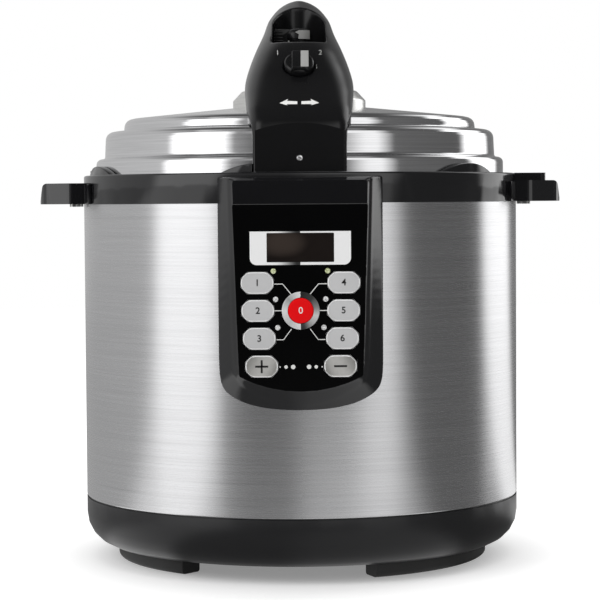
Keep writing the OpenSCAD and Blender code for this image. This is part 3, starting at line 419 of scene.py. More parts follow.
# Pressure switch and thermal fuse: a brown moulded switch under the plate that opens at full
# pressure, and a ceramic fuse clamped beside the element.
dress(moulded("switch_brown", (0.16, 0.055, 0.028), 0.4), "pressure_switch")
dress(ceramic, "thermal_fuse")


# Power board and control board: glass-fibre boards under green solder mask, with tinned pads. One is
# screwed to the base, the other to the bezel's studs with the key switches and the display on it.
def circuit_board(name, mask, copper):
    """A printed board: solder mask with copper runs under it, and pale pads."""
    made, shader, place = start_finish(name, mask, 0.35)
    runs = place.node("ShaderNodeTexBrick", {"offset": 0.5},
                      {"Vector": place, "Scale": 90.0, "Mortar Size": 0.03, "Color1": (0, 0, 0, 1),
                       "Color2": (0.25, 0.25, 0.25, 1), "Mortar": (1, 1, 1, 1)})
    cells = place.node("ShaderNodeTexVoronoi", {}, {"Vector": place, "Scale": 260.0})
    pads = cells.rise(0.22, 0.26, 1.0, 0.0)
    pads.blend(runs.blend((*mask, 1), (*copper, 1)), (0.62, 0.6, 0.52, 1)).feed(shader, "Base Color")
    (0.4 - pads * 0.12).feed(shader, "Roughness")
    return made


board_green = circuit_board("board_green", (0.012, 0.11, 0.035), (0.03, 0.2, 0.07))
dress(board_green, "power_board", "control_board")
dress(moulded("switch_black", (0.04, 0.04, 0.043), 0.45), "key_switches")
dress(moulded("module_dark", (0.06, 0.056, 0.05), 0.4), "display_module")


# Power inlet: the socket for the mains lead, a black heat-proof moulding set into the base's rear
# wall, with its three pins.
dress(moulded("inlet_black", (0.028, 0.028, 0.028), 0.5), "power_inlet")
soften(0.4, "power_inlet")


# Outer shell: one wrapped sheet of stainless steel, brushed round the body, its lower edge rolled
# to a thin bright bead that stands on the base.
def brushed_round(name, colour, roughness, streaks, anisotropy):
    """Steel brushed round the axis: long streaks that follow the wall, in its tone and its gloss."""
    made, shader, place = start_finish(name, colour, roughness, Metallic=1.0, Anisotropic=anisotropy,
                                       Anisotropic_Rotation=0.25)
    x, y, z = place.parts()
    turn = place.maths("ARCTAN2", x, y)
    around = place.node("ShaderNodeCombineXYZ", {}, {0: turn * 0.6, 1: z * streaks, 2: 0.0})
    long_streaks = noise(around, 1.0, 4, 0.6)
    fine_around = place.node("ShaderNodeCombineXYZ", {}, {0: turn * 3.0, 1: z * streaks * 3.4, 2: 5.0})
    fine_streaks = noise(fine_around, 1.0, 2)
    tone = long_streaks * 0.55 + fine_streaks * 0.45
    tone.rise(0.25, 0.75).blend(dim(colour, 0.88), dim(colour, 1.1)).feed(shader, "Base Color")
    (roughness - 0.05 + tone * 0.1).feed(shader, "Roughness")
    bump(place, fine_streaks, 0.3, 0.00001, shader)
    return made


dress(brushed_round("brushed_steel", (0.66, 0.66, 0.67), 0.27, 900.0, 0.8), "outer_shell")


# Collar and side handles: black gloss mouldings. The collar clamps the shell to the outer pot's rim,
# arches over the bayonet's lugs, and the handles are screwed to its sides.
def glossy(name, colour, roughness, **constants):
    """Gloss plastic: a faint ripple from the mould, fine rubbing marks and a thin haze of wear."""
    made, shader, place = start_finish(name, colour, roughness, **constants)
    ripple = noise(place, 120, 1)
    haze = noise(place, 22, 4, 0.6)
    marks = noise(stretched(place, (1, 1, 9)), 500, 2)
    haze.blend(dim(colour, 0.85), dim(colour, 1.2)).feed(shader, "Base Color")
    (roughness - 0.03 + haze * 0.05 + marks * 0.04).feed(shader, "Roughness")
    bump(place, ripple, 0.1, 0.00003, shader)
    return made


gloss_black = glossy("gloss_black", (0.006, 0.006, 0.007), 0.1, IOR=1.6, Specular_IOR_Level=0.52)
dress(gloss_black, "collar", "handle_left", "handle_right")
soften(0.6, "collar", "handle_left", "handle_right")


# Condensate cup: a clear moulded cup at the rear that slides into a gloss black bracket, under a
# short dark silicone spout that drips from the collar.
dress(gloss_black, "cup_bracket")
soften(0.4, "cup_bracket")
dress(glossy("cup_clear", (0.82, 0.88, 0.9), 0.08, Transmission_Weight=0.85, IOR=1.49), "condensate_cup")
soften(1.2, "condensate_cup")
dress(moulded("silicone_dark", (0.04, 0.04, 0.04), 0.55), "drip_spout")


# Panel bezel: a black gloss moulding that frames the control panel, set into the shell's front. Its
# inside is the CAD piece's, and its flank is one skin that turns from the sides into the lower bow.
def modify(piece, kind, **settings):
    """Adds a modifier with these settings and applies it."""
    modifier = piece.modifiers.new(kind.lower(), kind)
    for name, value in settings.items():
        setattr(modifier, name, value)
    with bpy.context.temp_override(object=piece, active_object=piece, selected_objects=[piece]):
        bpy.ops.object.modifier_apply(modifier=modifier.name)
    return piece


def cut(piece, *cutters, operation="DIFFERENCE"):
    for cutter in cutters:
        modify(piece, "BOOLEAN", object=cutter, operation=operation, solver="EXACT")
        bpy.data.objects.remove(cutter)
    return piece


BOW_IN, BEZEL_VOXEL = 0.4, 0.001


def bezel_outline(top_half, low_half, top, side, low, ease):
    """An outline of the bezel in mm: straight sides, a bowed lower edge, and eased lower corners."""
    up, over, bow = 20, 12, 44
    wider, taller = top_half - low_half, top - side
    points = [Vector((low_half + wider * k / up, side + taller * k / up)) for k in range(up)]
    points += [Vector((top_half - 2 * top_half * k / over, top)) for k in range(over)]
    points += [Vector((-p.x, p.y)) for p in [Vector((top_half, top))] + points[up - 1:0:-1]]
    sag = side - low
    radius = (low_half ** 2 + sag ** 2) / (2 * sag)
    reach = math.asin(low_half / radius)
    for k in range(bow):
        turn = reach * (2 * k / bow - 1)
        drawn = radius - BOW_IN
        points.append(Vector((drawn * math.sin(turn), low + radius - drawn * math.cos(turn))))
    held = range(up - 5, up + over + 6)
    for _ in range(ease):
        points = [p if k in held else (points[k - 1] + 2 * p + points[(k + 1) % len(points)]) / 4
                  for k, p in enumerate(points)]
    return points


BEZEL_FACE = bezel_outline(46.94, 42.94, 283.94, 148, 137.5, 2)
BEZEL_SHOULDER = bezel_outline(51.04, 47.04, 285.94, 146, 127, 4)
BEZEL_BACK = bezel_outline(57.94, 57.94, 286.94, 141, 104, 4)
BEZEL_LEVELS = [(-174, BEZEL_FACE), (-172.75, BEZEL_FACE), (-172.45, BEZEL_FACE), (-167.4, BEZEL_SHOULDER),
                (-167.1, BEZEL_SHOULDER), (-154.7, BEZEL_BACK), (-140, BEZEL_BACK)]


def bezel_place(share, step):
    y, points = BEZEL_LEVELS[round(step * (len(BEZEL_LEVELS) - 1))]
    p = points[round(share * len(points)) % len(points)]
    return Vector((p.x, y, p.y)) / 1000


skin = close(wrap("bezel_skin", len(BEZEL_FACE), len(BEZEL_LEVELS) - 1, bezel_place))
modify(skin, "REMESH", mode="VOXEL", voxel_size=BEZEL_VOXEL)
modify(skin, "SMOOTH", factor=0.5, iterations=6)
dress(gloss_black, "panel_bezel")
bezel = nodes["panel_bezel"].copy()
bezel.data = nodes["panel_bezel"].data.copy()
bezel.name = "bezel_moulding"
bezel.data.name = "bezel_moulding"
bpy.context.scene.collection.objects.link(bezel)
modify(bezel, "WELD", merge_threshold=SAME_POINT)
cut(bezel, skin, operation="INTERSECT")
modify(bezel, "WELD", merge_threshold=10 * SAME_POINT)
smooth(bezel, 30)
modify(bezel, "WEIGHTED_NORMAL", keep_sharp=True, weight=100)
fit(bezel, "root", "gloss_black", gloss_black)
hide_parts("panel_bezel")


# Panel film: a plastic sheet, printed in black and glued into the bezel, with a thin seam where its
# upper edge meets it. White lines lead from the keys to the stop key, with a row of dots below.
def settle(piece, matrix=None):
    """Puts a piece's place into its mesh, after a further move where one is given."""
    bpy.context.view_layer.update()
    place = piece.matrix_world if matrix is None else matrix @ piece.matrix_world
    piece.data.transform(place)
    piece.matrix_world = Matrix()
    return piece


def spun(name, profile, steps=128):
    """A closed form turned round the Z axis, from radius and height pairs in mm that start and end on it."""
    def place(share, step):
        radius, height = profile[round(step * (len(profile) - 1))]
        turn = share * math.tau
        return Vector((radius * math.sin(turn), -radius * math.cos(turn), height)) / 1000
    return close(wrap(name, steps, len(profile) - 1, place))


def joined(name, first, *others):
    """One piece made of several."""
    choose(first, *others)
    if others:
        bpy.ops.object.join()
    first.name = name
    first.data.name = name
    return first


def strokes(name, width, thick, *lines):
    """Printed lines of one width and thickness, in mm, through these points."""
    shape = bpy.data.curves.new(name, "CURVE")
    shape.dimensions = "3D"
    shape.bevel_depth = width / 2000
    shape.bevel_resolution = 1
    shape.use_fill_caps = True
    for line in lines:
        spline = shape.splines.new("POLY")
        spline.points.add(len(line) - 1)
        for point, (x, y) in zip(spline.points, line):
            point.co = (x / 1000, y / 1000, 0, 1)
    piece = bpy.data.objects.new(name, shape)
    bpy.context.scene.collection.objects.link(piece)
    choose(piece)
    bpy.ops.object.convert(target="MESH")
    piece = bpy.context.object
    piece.data.transform(Matrix.Diagonal((1, 1, 2 * thick / width, 1)))
    return piece


PANEL_Y = -173


def on_front(x, z, y=PANEL_Y):
    """The place in mm of a piece that is drawn lying flat and stands upright, facing the front."""
    return Matrix.Translation((x / 1000, y / 1000, z / 1000)) @ Matrix.Rotation(math.radians(90), 4, "X")


dress(glossy("film_black", (0.0012, 0.0012, 0.0014), 0.2, Specular_IOR_Level=0.15), "panel_film")

LINK_WIDTH, LINK_THICK = 0.62, 0.06
LINKS = [[(18.4, 212.1), (12.4, 212.1), (6.4, 204.8)], [(18.4, 193.6), (12.8, 193.6)],
         [(17, 173.5), (12, 173.5), (6.5, 180.9)]]
mirrored_links = ([(-x, z) for x, z in line] for line in LINKS)
links = strokes("links", LINK_WIDTH, LINK_THICK, *LINKS, *mirrored_links)
DOTS_Z, DOT_DEEP, DOT_HIGH = 154.6, -0.02, 0.05
dots = []
for x, radius in [(5.5, 1.55), (10.45, 1.2), (14.6, 0.5), (-5.5, 1.55), (-10.45, 1.2), (-14.6, 0.5)]:
    dot = spun(f"dot_{x}", [(0, DOT_DEEP), (radius, DOT_DEEP), (radius, DOT_HIGH), (0, DOT_HIGH)], 24)
    dots.append(settle(dot, Matrix.Translation((x / 1000, DOTS_Z / 1000, 0))))
white_print = moulded("white_print", (0.86, 0.86, 0.84), 0.5)
film_prints = settle(joined("film_prints", links, *dots), on_front(0, 0))
fit(film_prints, "root", "film_black", white_print)

SEAM_HALF, SEAM_Z, SEAM_WIDTH, SEAM_THICK = 46.9, 267.3, 0.5, 0.12
seam = strokes("panel_seam", SEAM_WIDTH, SEAM_THICK, [(-SEAM_HALF, SEAM_Z), (SEAM_HALF, SEAM_Z)])
settle(seam, on_front(0, 0))
fit(seam, "root", "gloss_black", moulded("seam_edge", (0.05, 0.05, 0.05), 0.35))


# Display: a window of dark tinted plastic over the display module. Its white frame is printed on the
# film with rounded lower corners, and its left half fades out towards the middle.
def rounded_edges(piece, width, segments=2, angle=35):
    return modify(piece, "BEVEL", width=width / 1000, segments=segments, limit_method="ANGLE",
                  angle_limit=math.radians(angle), harden_normals=False)


def block(name, size, place, edge=0.15, taper=1.0, matrix=None):
    """A moulded block in mm, its edges rounded and its upper end drawn in."""
    bpy.ops.object.select_all(action="DESELECT")
    bpy.ops.mesh.primitive_cube_add(size=1, location=[v / 1000 for v in place])
    piece = bpy.context.object
    piece.name = name
    piece.data.name = name
    piece.scale = [v / 1000 for v in size]
    for vertex in piece.data.vertices:
        if vertex.co.z > 0:
            vertex.co.x *= taper
            vertex.co.y *= taper
    settle(piece)
    rounded_edges(piece, edge, 2, 20)
    return settle(piece, matrix)


def flat_shape(name, points):
    """A flat face on a closed outline in mm."""
    shape = bpy.data.meshes.new(name)
    shape.from_pydata([(x / 1000, y / 1000, 0) for x, y in points], [], [list(range(len(points)))])
    piece = bpy.data.objects.new(name, shape)
    bpy.context.scene.collection.objects.link(piece)
    return piece


FRAME_HALF, FRAME_TOP, FRAME_LOW, FRAME_BEND, PRINT_THICK = 35, 248.5, 230, 4.7, 0.12
OPENING, OPENING_Z = (46.6, 20.2, 3), 237.3
turns = [step * math.pi / 16 for step in range(1, 9)]
bend = [(FRAME_BEND * math.cos(turn), FRAME_BEND * math.sin(turn)) for turn in turns]
straight = FRAME_HALF - FRAME_BEND
frame_line = [(FRAME_HALF, FRAME_TOP), (-FRAME_HALF, FRAME_TOP), (-FRAME_HALF, FRAME_LOW)]
frame_line += [(-straight - across, FRAME_LOW - down) for across, down in bend]
frame_line += [(straight + across, FRAME_LOW - down) for across, down in reversed(bend)]
frame_line += [(FRAME_HALF, FRAME_LOW)]
border = modify(flat_shape("display_frame", frame_line), "SOLIDIFY", thickness=PRINT_THICK / 1000, offset=0)
close(cut(border, block("opening", OPENING, (0, OPENING_Z, 0), 0.6)), False)
settle(border, on_front(0, 0))
FADE_FROM, FADE_TO, FADE_EDGE = -0.019, -0.002, 0.0002
fading, shader, place = start_finish("fading_print", (0.86, 0.86, 0.86), 0.5)
x, y, z = place.parts()
fade = x.rise(FADE_FROM, FADE_TO, 1.0, 0.0) + x.rise(-FADE_EDGE, FADE_EDGE, 0.0, 1.0)
fade = fade.maths("MINIMUM", fade, 1.0) + noise(place, 300, 2) * 0.03
fade.blend((0.004, 0.004, 0.004, 1), (0.97, 0.97, 0.97, 1)).feed(shader, "Base Color")
fit(border, "root", "film_black", fading)

# Painted reflection: the window's colour lifts in a soft spot towards its upper left, over a faint random
# mottle.
REFLECTION_X, REFLECTION_Z, REFLECTION_WIDE, REFLECTION_TALL = -0.013, 0.2405, 0.016, 0.009
glass, shader, place = start_finish("display_glass", (0.012, 0.009, 0.008), 0.12, IOR=1.5,
                                    Specular_IOR_Level=0.2)
x, y, z = place.parts()
across, up = (x - REFLECTION_X) / REFLECTION_WIDE, (z - REFLECTION_Z) / REFLECTION_TALL
painted_reflection = (across * across + up * up).rise(0.0, 1.6, 1.0, 0.0) * 0.8 + noise(place, 60, 3) * 0.2
painted_reflection.blend((0.0085, 0.0065, 0.006, 1), (0.05, 0.038, 0.032, 1)).feed(shader, "Base Color")
dress(glass, "display_window")


# Grey keys: moulded caps with chamfered corners, a white rim round a sunken grey face, and a plain
# sign printed on each. They slide in the bezel and look out through the printed film.
def octagon(wide, tall, corner, soft=2.4):
    """The outline of a key in mm: its four corners cut at 45 degrees, and every bend rounded."""
    w, h = wide / 2, tall / 2
    bends = [Vector(p) for p in [(w, h - corner), (w - corner, h), (corner - w, h), (-w, h - corner),
                                 (-w, corner - h), (corner - w, -h), (w - corner, -h), (w, corner - h)]]
    points = []
    for k, bend in enumerate(bends):
        before = (bends[k - 1] - bend).normalized() * soft
        after = (bends[(k + 1) % 8] - bend).normalized() * soft
        for step in range(5):
            f = step / 4
            points.append(bend + before * (1 - f) ** 2 + after * f ** 2)
    return points


def pressed(name, outline, rows):
    """A solid on an outline in mm: each row gives how far it is drawn in, and its height."""
    wide = max(p.x for p in outline)
    tall = max(p.y for p in outline)

    def place(share, step):
        inset, height = rows[round(step * (len(rows) - 1))]
        p = outline[round(share * len(outline)) % len(outline)]
        return Vector((p.x * (wide - inset) / wide, p.y * (tall - inset) / tall, height)) / 1000
    return close(wrap(name, len(outline), len(rows) - 1, place))


def digit(name, text, size, weight=0.0):
    """A plain digit or sign, centred, as a thin raised print."""
    bpy.ops.object.select_all(action="DESELECT")
    bpy.ops.object.text_add(location=(0, 0, 0))
    piece = bpy.context.object
    piece.name = name
    piece.data.body = text
    piece.data.size = size / 1000
    piece.data.align_x = "CENTER"
    piece.data.align_y = "CENTER"
    piece.data.offset = weight / 1000
    piece.data.extrude = 0.00004
    bpy.ops.object.convert(target="MESH")
    return bpy.context.object


key_white = moulded("key_rim", (0.93, 0.93, 0.93), 0.4)
key_grey = moulded("key_face", (0.6, 0.6, 0.605), 0.42)
print_black = moulded("print_black", (0.012, 0.012, 0.012), 0.5)

# The + and - keys have a metallic face with a painted highlight: a bright band across it, dark towards its
# lower inner corner.
HIGHLIGHT_BAND_X, HIGHLIGHT_BAND_Z = 0.027, 0.155
key_metal, shader, place = start_finish("key_metal", (0.5, 0.5, 0.5), 0.32, Metallic=0.35)
x, y, z = place.parts()
slope = (x.maths("ABSOLUTE", x) - HIGHLIGHT_BAND_X) * 42 + (z - HIGHLIGHT_BAND_Z) * 22
# Painted highlight: the face's colour runs from dark up to bright and partly back across a slanted band.
painted_highlight = slope.rise(-0.75, -0.1, 0.0, 0.65) + slope.rise(0.0, 0.55, 0.0, -0.4) + noise(place, 500, 3) * 0.12
painted_highlight.blend((0.11, 0.11, 0.1, 1), (0.84, 0.83, 0.8, 1)).feed(shader, "Base Color")

KEYS = [("left_1", -30, 212.9, "1"), ("left_2", -29.7, 193.6, "2"), ("left_3", -28.8, 174.3, "3"),
        ("left_4", -27.3, 155, "+"), ("right_1", 30, 212.9, "4"), ("right_2", 29.7, 193.6, "5"),
        ("right_3", 28.8, 174.3, "6"), ("right_4", 27.3, 155, "-")]
KEY_ROWS = [(-1.1, -11.8), (-1.1, -2.6), (0, -2.5), (0, 0.25), (0.12, 0.5), (0.4, 0.68), (0.8, 0.7),
            (0.98, 0.58), (1.6, 0.6)]
KEY_WIDE, KEY_TALL, KEY_CORNER = 22.6, 15.1, 4.6
FACE_HIGH, FACE_WIDE, FACE_TALL = 0.55, 10.55, 6.8
DIGIT_SIZE, DIGIT_WEIGHT, DIGIT_HIGH = 6.4, 0.12, 0.62
BAR_LONG, BAR_WIDE, BAR_THICK, BAR_HIGH = 9, 1.35, 0.1, 0.63
outline = octagon(KEY_WIDE, KEY_TALL, KEY_CORNER)
for name, x, z, sign in KEYS:
    key = pressed(f"cap_{name}", outline, KEY_ROWS)
    for face in key.data.polygons:
        corners = [key.data.vertices[v].co * 1000 for v in face.vertices]
        if all(p.z > FACE_HIGH and abs(p.x) < FACE_WIDE and abs(p.y) < FACE_TALL for p in corners):
            face.material_index = 1
    settle(key, on_front(x, z))
    fit(smooth(key, 30), f"key_{name}_body", "key_grey", key_white, key_metal if sign in "+-" else key_grey)
    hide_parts(f"key_{name}")
    if sign in "+-":
        bars = [block(f"bar_{name}", (BAR_LONG, BAR_WIDE, BAR_THICK), (0, 0, BAR_HIGH), 0.02)]
        if sign == "+":
            bars.append(block(f"post_{name}", (BAR_WIDE, BAR_LONG, BAR_THICK), (0, 0, BAR_HIGH), 0.02))
        mark = settle(joined(f"sign_{name}", *bars), on_front(x, z))
    else:
        mark = digit(f"sign_{name}", sign, DIGIT_SIZE, DIGIT_WEIGHT)
        settle(mark, on_front(x, z, PANEL_Y - DIGIT_HIGH))
    fit(mark, f"key_{name}_body", "key_grey", print_black)


# Stop key: a red gloss cap with a softly domed face and a plain sign, in a flat ring pressed from
# bright metal into the bezel. The ring's colour is a painted reflection of a spun sheen, bright and dark
# by turns round it, that breaks at its top and at its bottom.
STOP_Z, STOP_HIGH = 193.6, 0.9
STOP_PROFILE = [(0, -11.8), (9.9, -11.8), (9.9, -2.6), (8.8, -2.5), (8.8, 0.3), (8.66, 0.55), (8.3, 0.72),
                (6.5, 0.85), (4, STOP_HIGH), (0, STOP_HIGH)]
RING_PROFILE = [(9.05, 0), (13.1, 0), (13.1, 0.35), (12.85, 0.56), (12.4, 0.6), (9.5, 0.6), (9.15, 0.5),
                (9.05, 0.3), (9.05, 0)]
RING_PAINTED_REFLECTION = [(0.0, 0.9), (0.12, 0.62), (0.25, 0.9), (0.37, 0.42), (0.495, 0.95), (0.5, 0.015), (0.62, 0.05),
              (0.72, 0.28), (0.8, 0.72), (0.88, 0.5), (0.96, 0.05), (1.0, 0.03)]

key_red = glossy("key_red", (0.9, 0.0015, 0.004), 0.3, Specular_IOR_Level=0.15)
stop_key = settle(spun("stop_cap", STOP_PROFILE, 96), on_front(0, STOP_Z))
fit(smooth(stop_key, 40), "stop_key_body", "key_red", key_red)
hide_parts("stop_key")
stop_sign = settle(digit("sign_stop", "0", DIGIT_SIZE, 0.05), on_front(0, STOP_Z, PANEL_Y - STOP_HIGH))
fit(stop_sign, "stop_key_body", "key_red", white_print)

# Painted reflection: the colour runs through bright and dark sectors round the ring's centre.
ring_metal, shader, place = start_finish("ring_metal", (0.8, 0.8, 0.8), 0.34, Metallic=0.2)
x, y, z = place.parts()
turn = place.maths("ARCTAN2", x, z - STOP_Z / 1000) / math.tau + 0.5
swirl = turn + noise(place, 900, 3) * 0.03 - 0.015
stops = [(start, (tone, tone, tone, 1)) for start, tone in RING_PAINTED_REFLECTION]
swirl.node("ShaderNodeValToRGB", {"stops": stops}, {0: swirl}).feed(shader, "Base Color")
ring = settle(spun("ring", RING_PROFILE, 96), on_front(0, STOP_Z))
fit(smooth(ring, 30), "root", "silver_trim", ring_metal)
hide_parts("stop_key_ring")


# Indicator lights: small domed lenses of frosted plastic, pushed into the film's holes on their
# light pipes. The upper pair is tinted yellow-green.
def frosted(name, colour, dark, bright):
    """Frosted plastic over a light: grains of two shades."""
    made, shader, place = start_finish(name, colour, 0.12)
    noise(place, 900, 3).rise(0.35, 0.65).blend((*dark, 1), (*bright, 1)).feed(shader, "Base Color")
    return made


LENS_PROFILE = [(0, -2.6), (1.85, -2.6), (1.85, -0.05), (1.5, 0.14), (0.9, 0.26), (0, 0.3)]


def lens_row(name, spots, tint):
    lenses = [settle(spun(f"{name}_{x}", LENS_PROFILE, 32), on_front(x, z)) for x, z in spots]
    return fit(smooth(joined(name, *lenses), 40), "root", "lens_clear", tint)


clear_lens = frosted("lens_white", (0.8, 0.8, 0.8), (0.42, 0.42, 0.42), (0.95, 0.95, 0.95))
tinted_lens = frosted("lens_tinted", (0.6, 0.65, 0.35), (0.3, 0.34, 0.14), (0.85, 0.9, 0.6))
lenses = lens_row("lenses", [(17.4, 201.5), (-17.4, 201.5), (16, 181.9), (-16, 181.9)], clear_lens)
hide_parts("indicator_lenses")
lens_row("upper_lenses", [(18.8, 221.1), (-18.8, 221.1)], tinted_lens)


# Cooking pot: drawn from aluminium with a dark anodised wall and a rolled rim. It stands loose on
# the heating plate.
dress(cast_metal("inner_pot_aluminium", (0.3, 0.3, 0.31), 0.42, 900), "inner_pot")


# Lid: a shell of polished steel over an inner lid of plain steel, with a gloss black trim ring and
# a satin boss. The brass steam stem goes through both. Inside are the silicone sealing ring on its
# steel rack, the steam shield and the float valve.
dress(brushed_round("polished_lid", (0.74, 0.74, 0.75), 0.11, 500.0, 0.4), "lid_shell")
dress(pot_steel, "inner_lid", "ring_rack", "steam_shield")
dress(gloss_black, "lid_trim_ring")
soften(0.6, "lid_trim_ring")
dress(brushed_round("boss_satin", (0.82, 0.82, 0.8), 0.3, 500.0, 0.4), "lid_boss")
dress(turned_metal("brass_stem", (0.66, 0.5, 0.22), 0.25), "steam_stem")
dress(moulded("silicone_seal", (0.78, 0.77, 0.72), 0.45), "sealing_ring")
dress(spring_steel, "float_valve")


# Lid handle: one hollow-backed hood moulded in black, screwed to the lid from inside. It has a
# pocket at its top for the valve, a seat in its front for the knob and a hollow for the fingers.
# Its rows, in mm: height above the rim, half-width, front, back, and squareness of the section.
HOOD_ROWS = [
    (12.9, 35.6, -154.2, 44, 8), (28.4, 36.7, -154.2, 44, 8), (34.4, 37.3, -152.8, 44, 8),
    (39, 37.7, -149.8, 44, 7.5), (44.9, 38.3, -144.2, 44, 7), (49.4, 38.9, -139.2, 44, 6),
    (54.4, 39.5, -133.2, 44.3, 5.2), (59.9, 40, -126.5, 44.5, 4.6), (68.4, 39.4, -117, 43.8, 3.9),
    (80.4, 36.2, -105.5, 42.5, 3.3), (92.4, 31.8, -92, 40.5, 2.9), (104.4, 26.8, -71, 38, 2.6),
    (114.4, 23.7, -47, 35.5, 2.4), (119.4, 21.2, -33, 33.5, 2.3), (125.2, 17.2, -14, 30, 2.2),
    (129.2, 13, -3, 26.5, 2.1), (132.2, 7.8, 5, 20.5, 2), (133.8, 2.5, 9, 16, 2)]
RIM, HOOD_VOXEL = 289.6, 0.0009


def hood_row(share):
    """The hood's row at a share of its height, eased between the rows above."""
    step = min(share * (len(HOOD_ROWS) - 1), len(HOOD_ROWS) - 1.000001)
    first = int(step)
    f = step - first
    rows = [HOOD_ROWS[min(max(k, 0), len(HOOD_ROWS) - 1)] for k in range(first - 1, first + 3)]
    return [0.5 * (2 * b + (c - a) * f + (2 * a - 5 * b + 4 * c - d) * f * f
                   + (3 * b - a - 3 * c + d) * f ** 3) for a, b, c, d in zip(*rows)]


def hood_place(share, step):
    height, wide, front, back, square = hood_row(step)
    c, s = math.cos(share * math.tau), math.sin(share * math.tau)
    x = wide * math.copysign(abs(c) ** (2 / square), c)
    y = (front + back) / 2 + (back - front) / 2 * math.copysign(abs(s) ** (2 / square), s)
    return Vector((x, y, RIM + height)) / 1000


hood = close(wrap("lid_hood", 128, 119, hood_place))

# What is cut from it: the lid's own profile below, the pocket, the knob's seat, the hollow and the
# bore of the float's pin.
LID_FACE = [(0, 277), (156, 277), (156, 302.3), (149.1, 302.3), (148.1, 309), (148.1, 322.9),
            (134.5, 322.9), (133.5, 326), (133.5, 331), (132, 332), (54, 340.3), (51, 346.2), (50, 350),
            (43.7, 354.1), (0, 355.3)]
under = spun("under", LID_FACE)

SHELF, POCKET_TALL, POCKET_HALF, POCKET_MIDDLE, POCKET_BACK = 385, 60, 19, -42, -9.5
MOUTH_WIDER, MOUTH_OVER, MOUTH_LONG = 2.5, 24, 3.6


def pocket_place(share, step):
    """The pocket is round behind, and opens forwards a little wider."""
    turn = (share % 1 - 0.5) * math.tau
    x = POCKET_HALF * math.copysign(min(1, abs(math.sin(turn)) * 1.02), math.sin(turn))
    y = POCKET_MIDDLE + (POCKET_BACK - POCKET_MIDDLE) * math.cos(turn)
    ahead = POCKET_MIDDLE - y
    if ahead > 0:
        x = math.copysign(POCKET_HALF + MOUTH_WIDER * min(1, ahead / MOUTH_OVER), x)
        y = POCKET_MIDDLE - ahead * MOUTH_LONG
    return Vector((x * (1 + 0.04 * step), y, SHELF + POCKET_TALL * step)) / 1000


pocket = close(wrap("pocket", 96, 1, pocket_place))

SEAT_R, SEAT_DEEP = 11.3, -3
KNOB_SEAT = Vector((0, -108.758, 366.6)) / 1000
KNOB_TILT = math.radians(44.3071)
at_knob = Matrix.Translation(KNOB_SEAT) @ Matrix.Rotation(KNOB_TILT, 4, "X")
seat = settle(spun("seat", [(0, SEAT_DEEP), (SEAT_R, SEAT_DEEP), (SEAT_R, 30), (0, 30)], 64), at_knob)

HOLLOW_HALF, HOLLOW_DRAW, HOLLOW_SQUARE = 26, 4, 0.4
HOLLOW_FROM, HOLLOW_LONG, HOLLOW_Z, HOLLOW_UP = 16, 44, 377, 13


def hollow_place(share, step):
    """The finger hollow narrows upwards, with rounded corners."""
    turn = share * math.tau
    up = math.copysign(abs(math.sin(turn)) ** HOLLOW_SQUARE, math.sin(turn))
    wide = HOLLOW_HALF - HOLLOW_DRAW * (up + 1)
    x = wide * math.copysign(abs(math.cos(turn)) ** HOLLOW_SQUARE, math.cos(turn))
    return Vector((x, HOLLOW_FROM + HOLLOW_LONG * step, HOLLOW_Z + HOLLOW_UP * up)) / 1000


hollow = close(wrap("hollow", 64, 1, hollow_place))

PIN_R, PIN_X, PIN_Y = 2.7, -11, -44
pin_bore = settle(spun("pin_bore", [(0, 340), (PIN_R, 340), (PIN_R, 400), (0, 400)], 32),
                  Matrix.Translation((PIN_X / 1000, PIN_Y / 1000, 0)))

cut(hood, under, pocket, seat, hollow, pin_bore)
modify(hood, "REMESH", mode="VOXEL", voxel_size=HOOD_VOXEL)
modify(hood, "SMOOTH", factor=0.5, iterations=7)
smooth(hood, 70)
handle_black = glossy("handle_black", (0.006, 0.006, 0.0065), 0.2, Specular_IOR_Level=0.34)
fit(hood, "lid", "handle_black", handle_black)
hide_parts("lid_handle")


# Handle plate: a black moulded plate that closes the hood's front, held by one bright steel screw
# with a cross recess in its low domed head.
SCREW_Z, SCREW_Y, SCREW_TURN = 299.4, -157.5, 28
SCREW_PROFILE = [(0, -6.9), (1.5, -6.9), (1.5, -1.2), (2.1, -1.1), (2.1, -0.35), (1.8, -0.12), (1.1, 0.02),
                 (0, 0.06)]
SLOT_LONG, SLOT_WIDE, SLOT_TALL, SLOT_Z = 2.2, 0.5, 1.6, 0.25

dress(handle_black, "handle_plate")
soften(0.6, "handle_plate")
screw = spun("plate_screw_head", SCREW_PROFILE, 48)
slots = [(SLOT_LONG, SLOT_WIDE, SLOT_TALL), (SLOT_WIDE, SLOT_LONG, SLOT_TALL)]
cut(screw, *(block(f"slot_{k}", size, (0, 0, SLOT_Z), 0.03) for k, size in enumerate(slots)))
settle(screw, on_front(0, SCREW_Z, SCREW_Y) @ Matrix.Rotation(math.radians(SCREW_TURN), 4, "Z"))
bright_screw = turned_metal("bright_screw", (0.9, 0.9, 0.91), 0.2)
fit(smooth(screw), "lid", "bright_screw", bright_screw)
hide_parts("plate_screw")


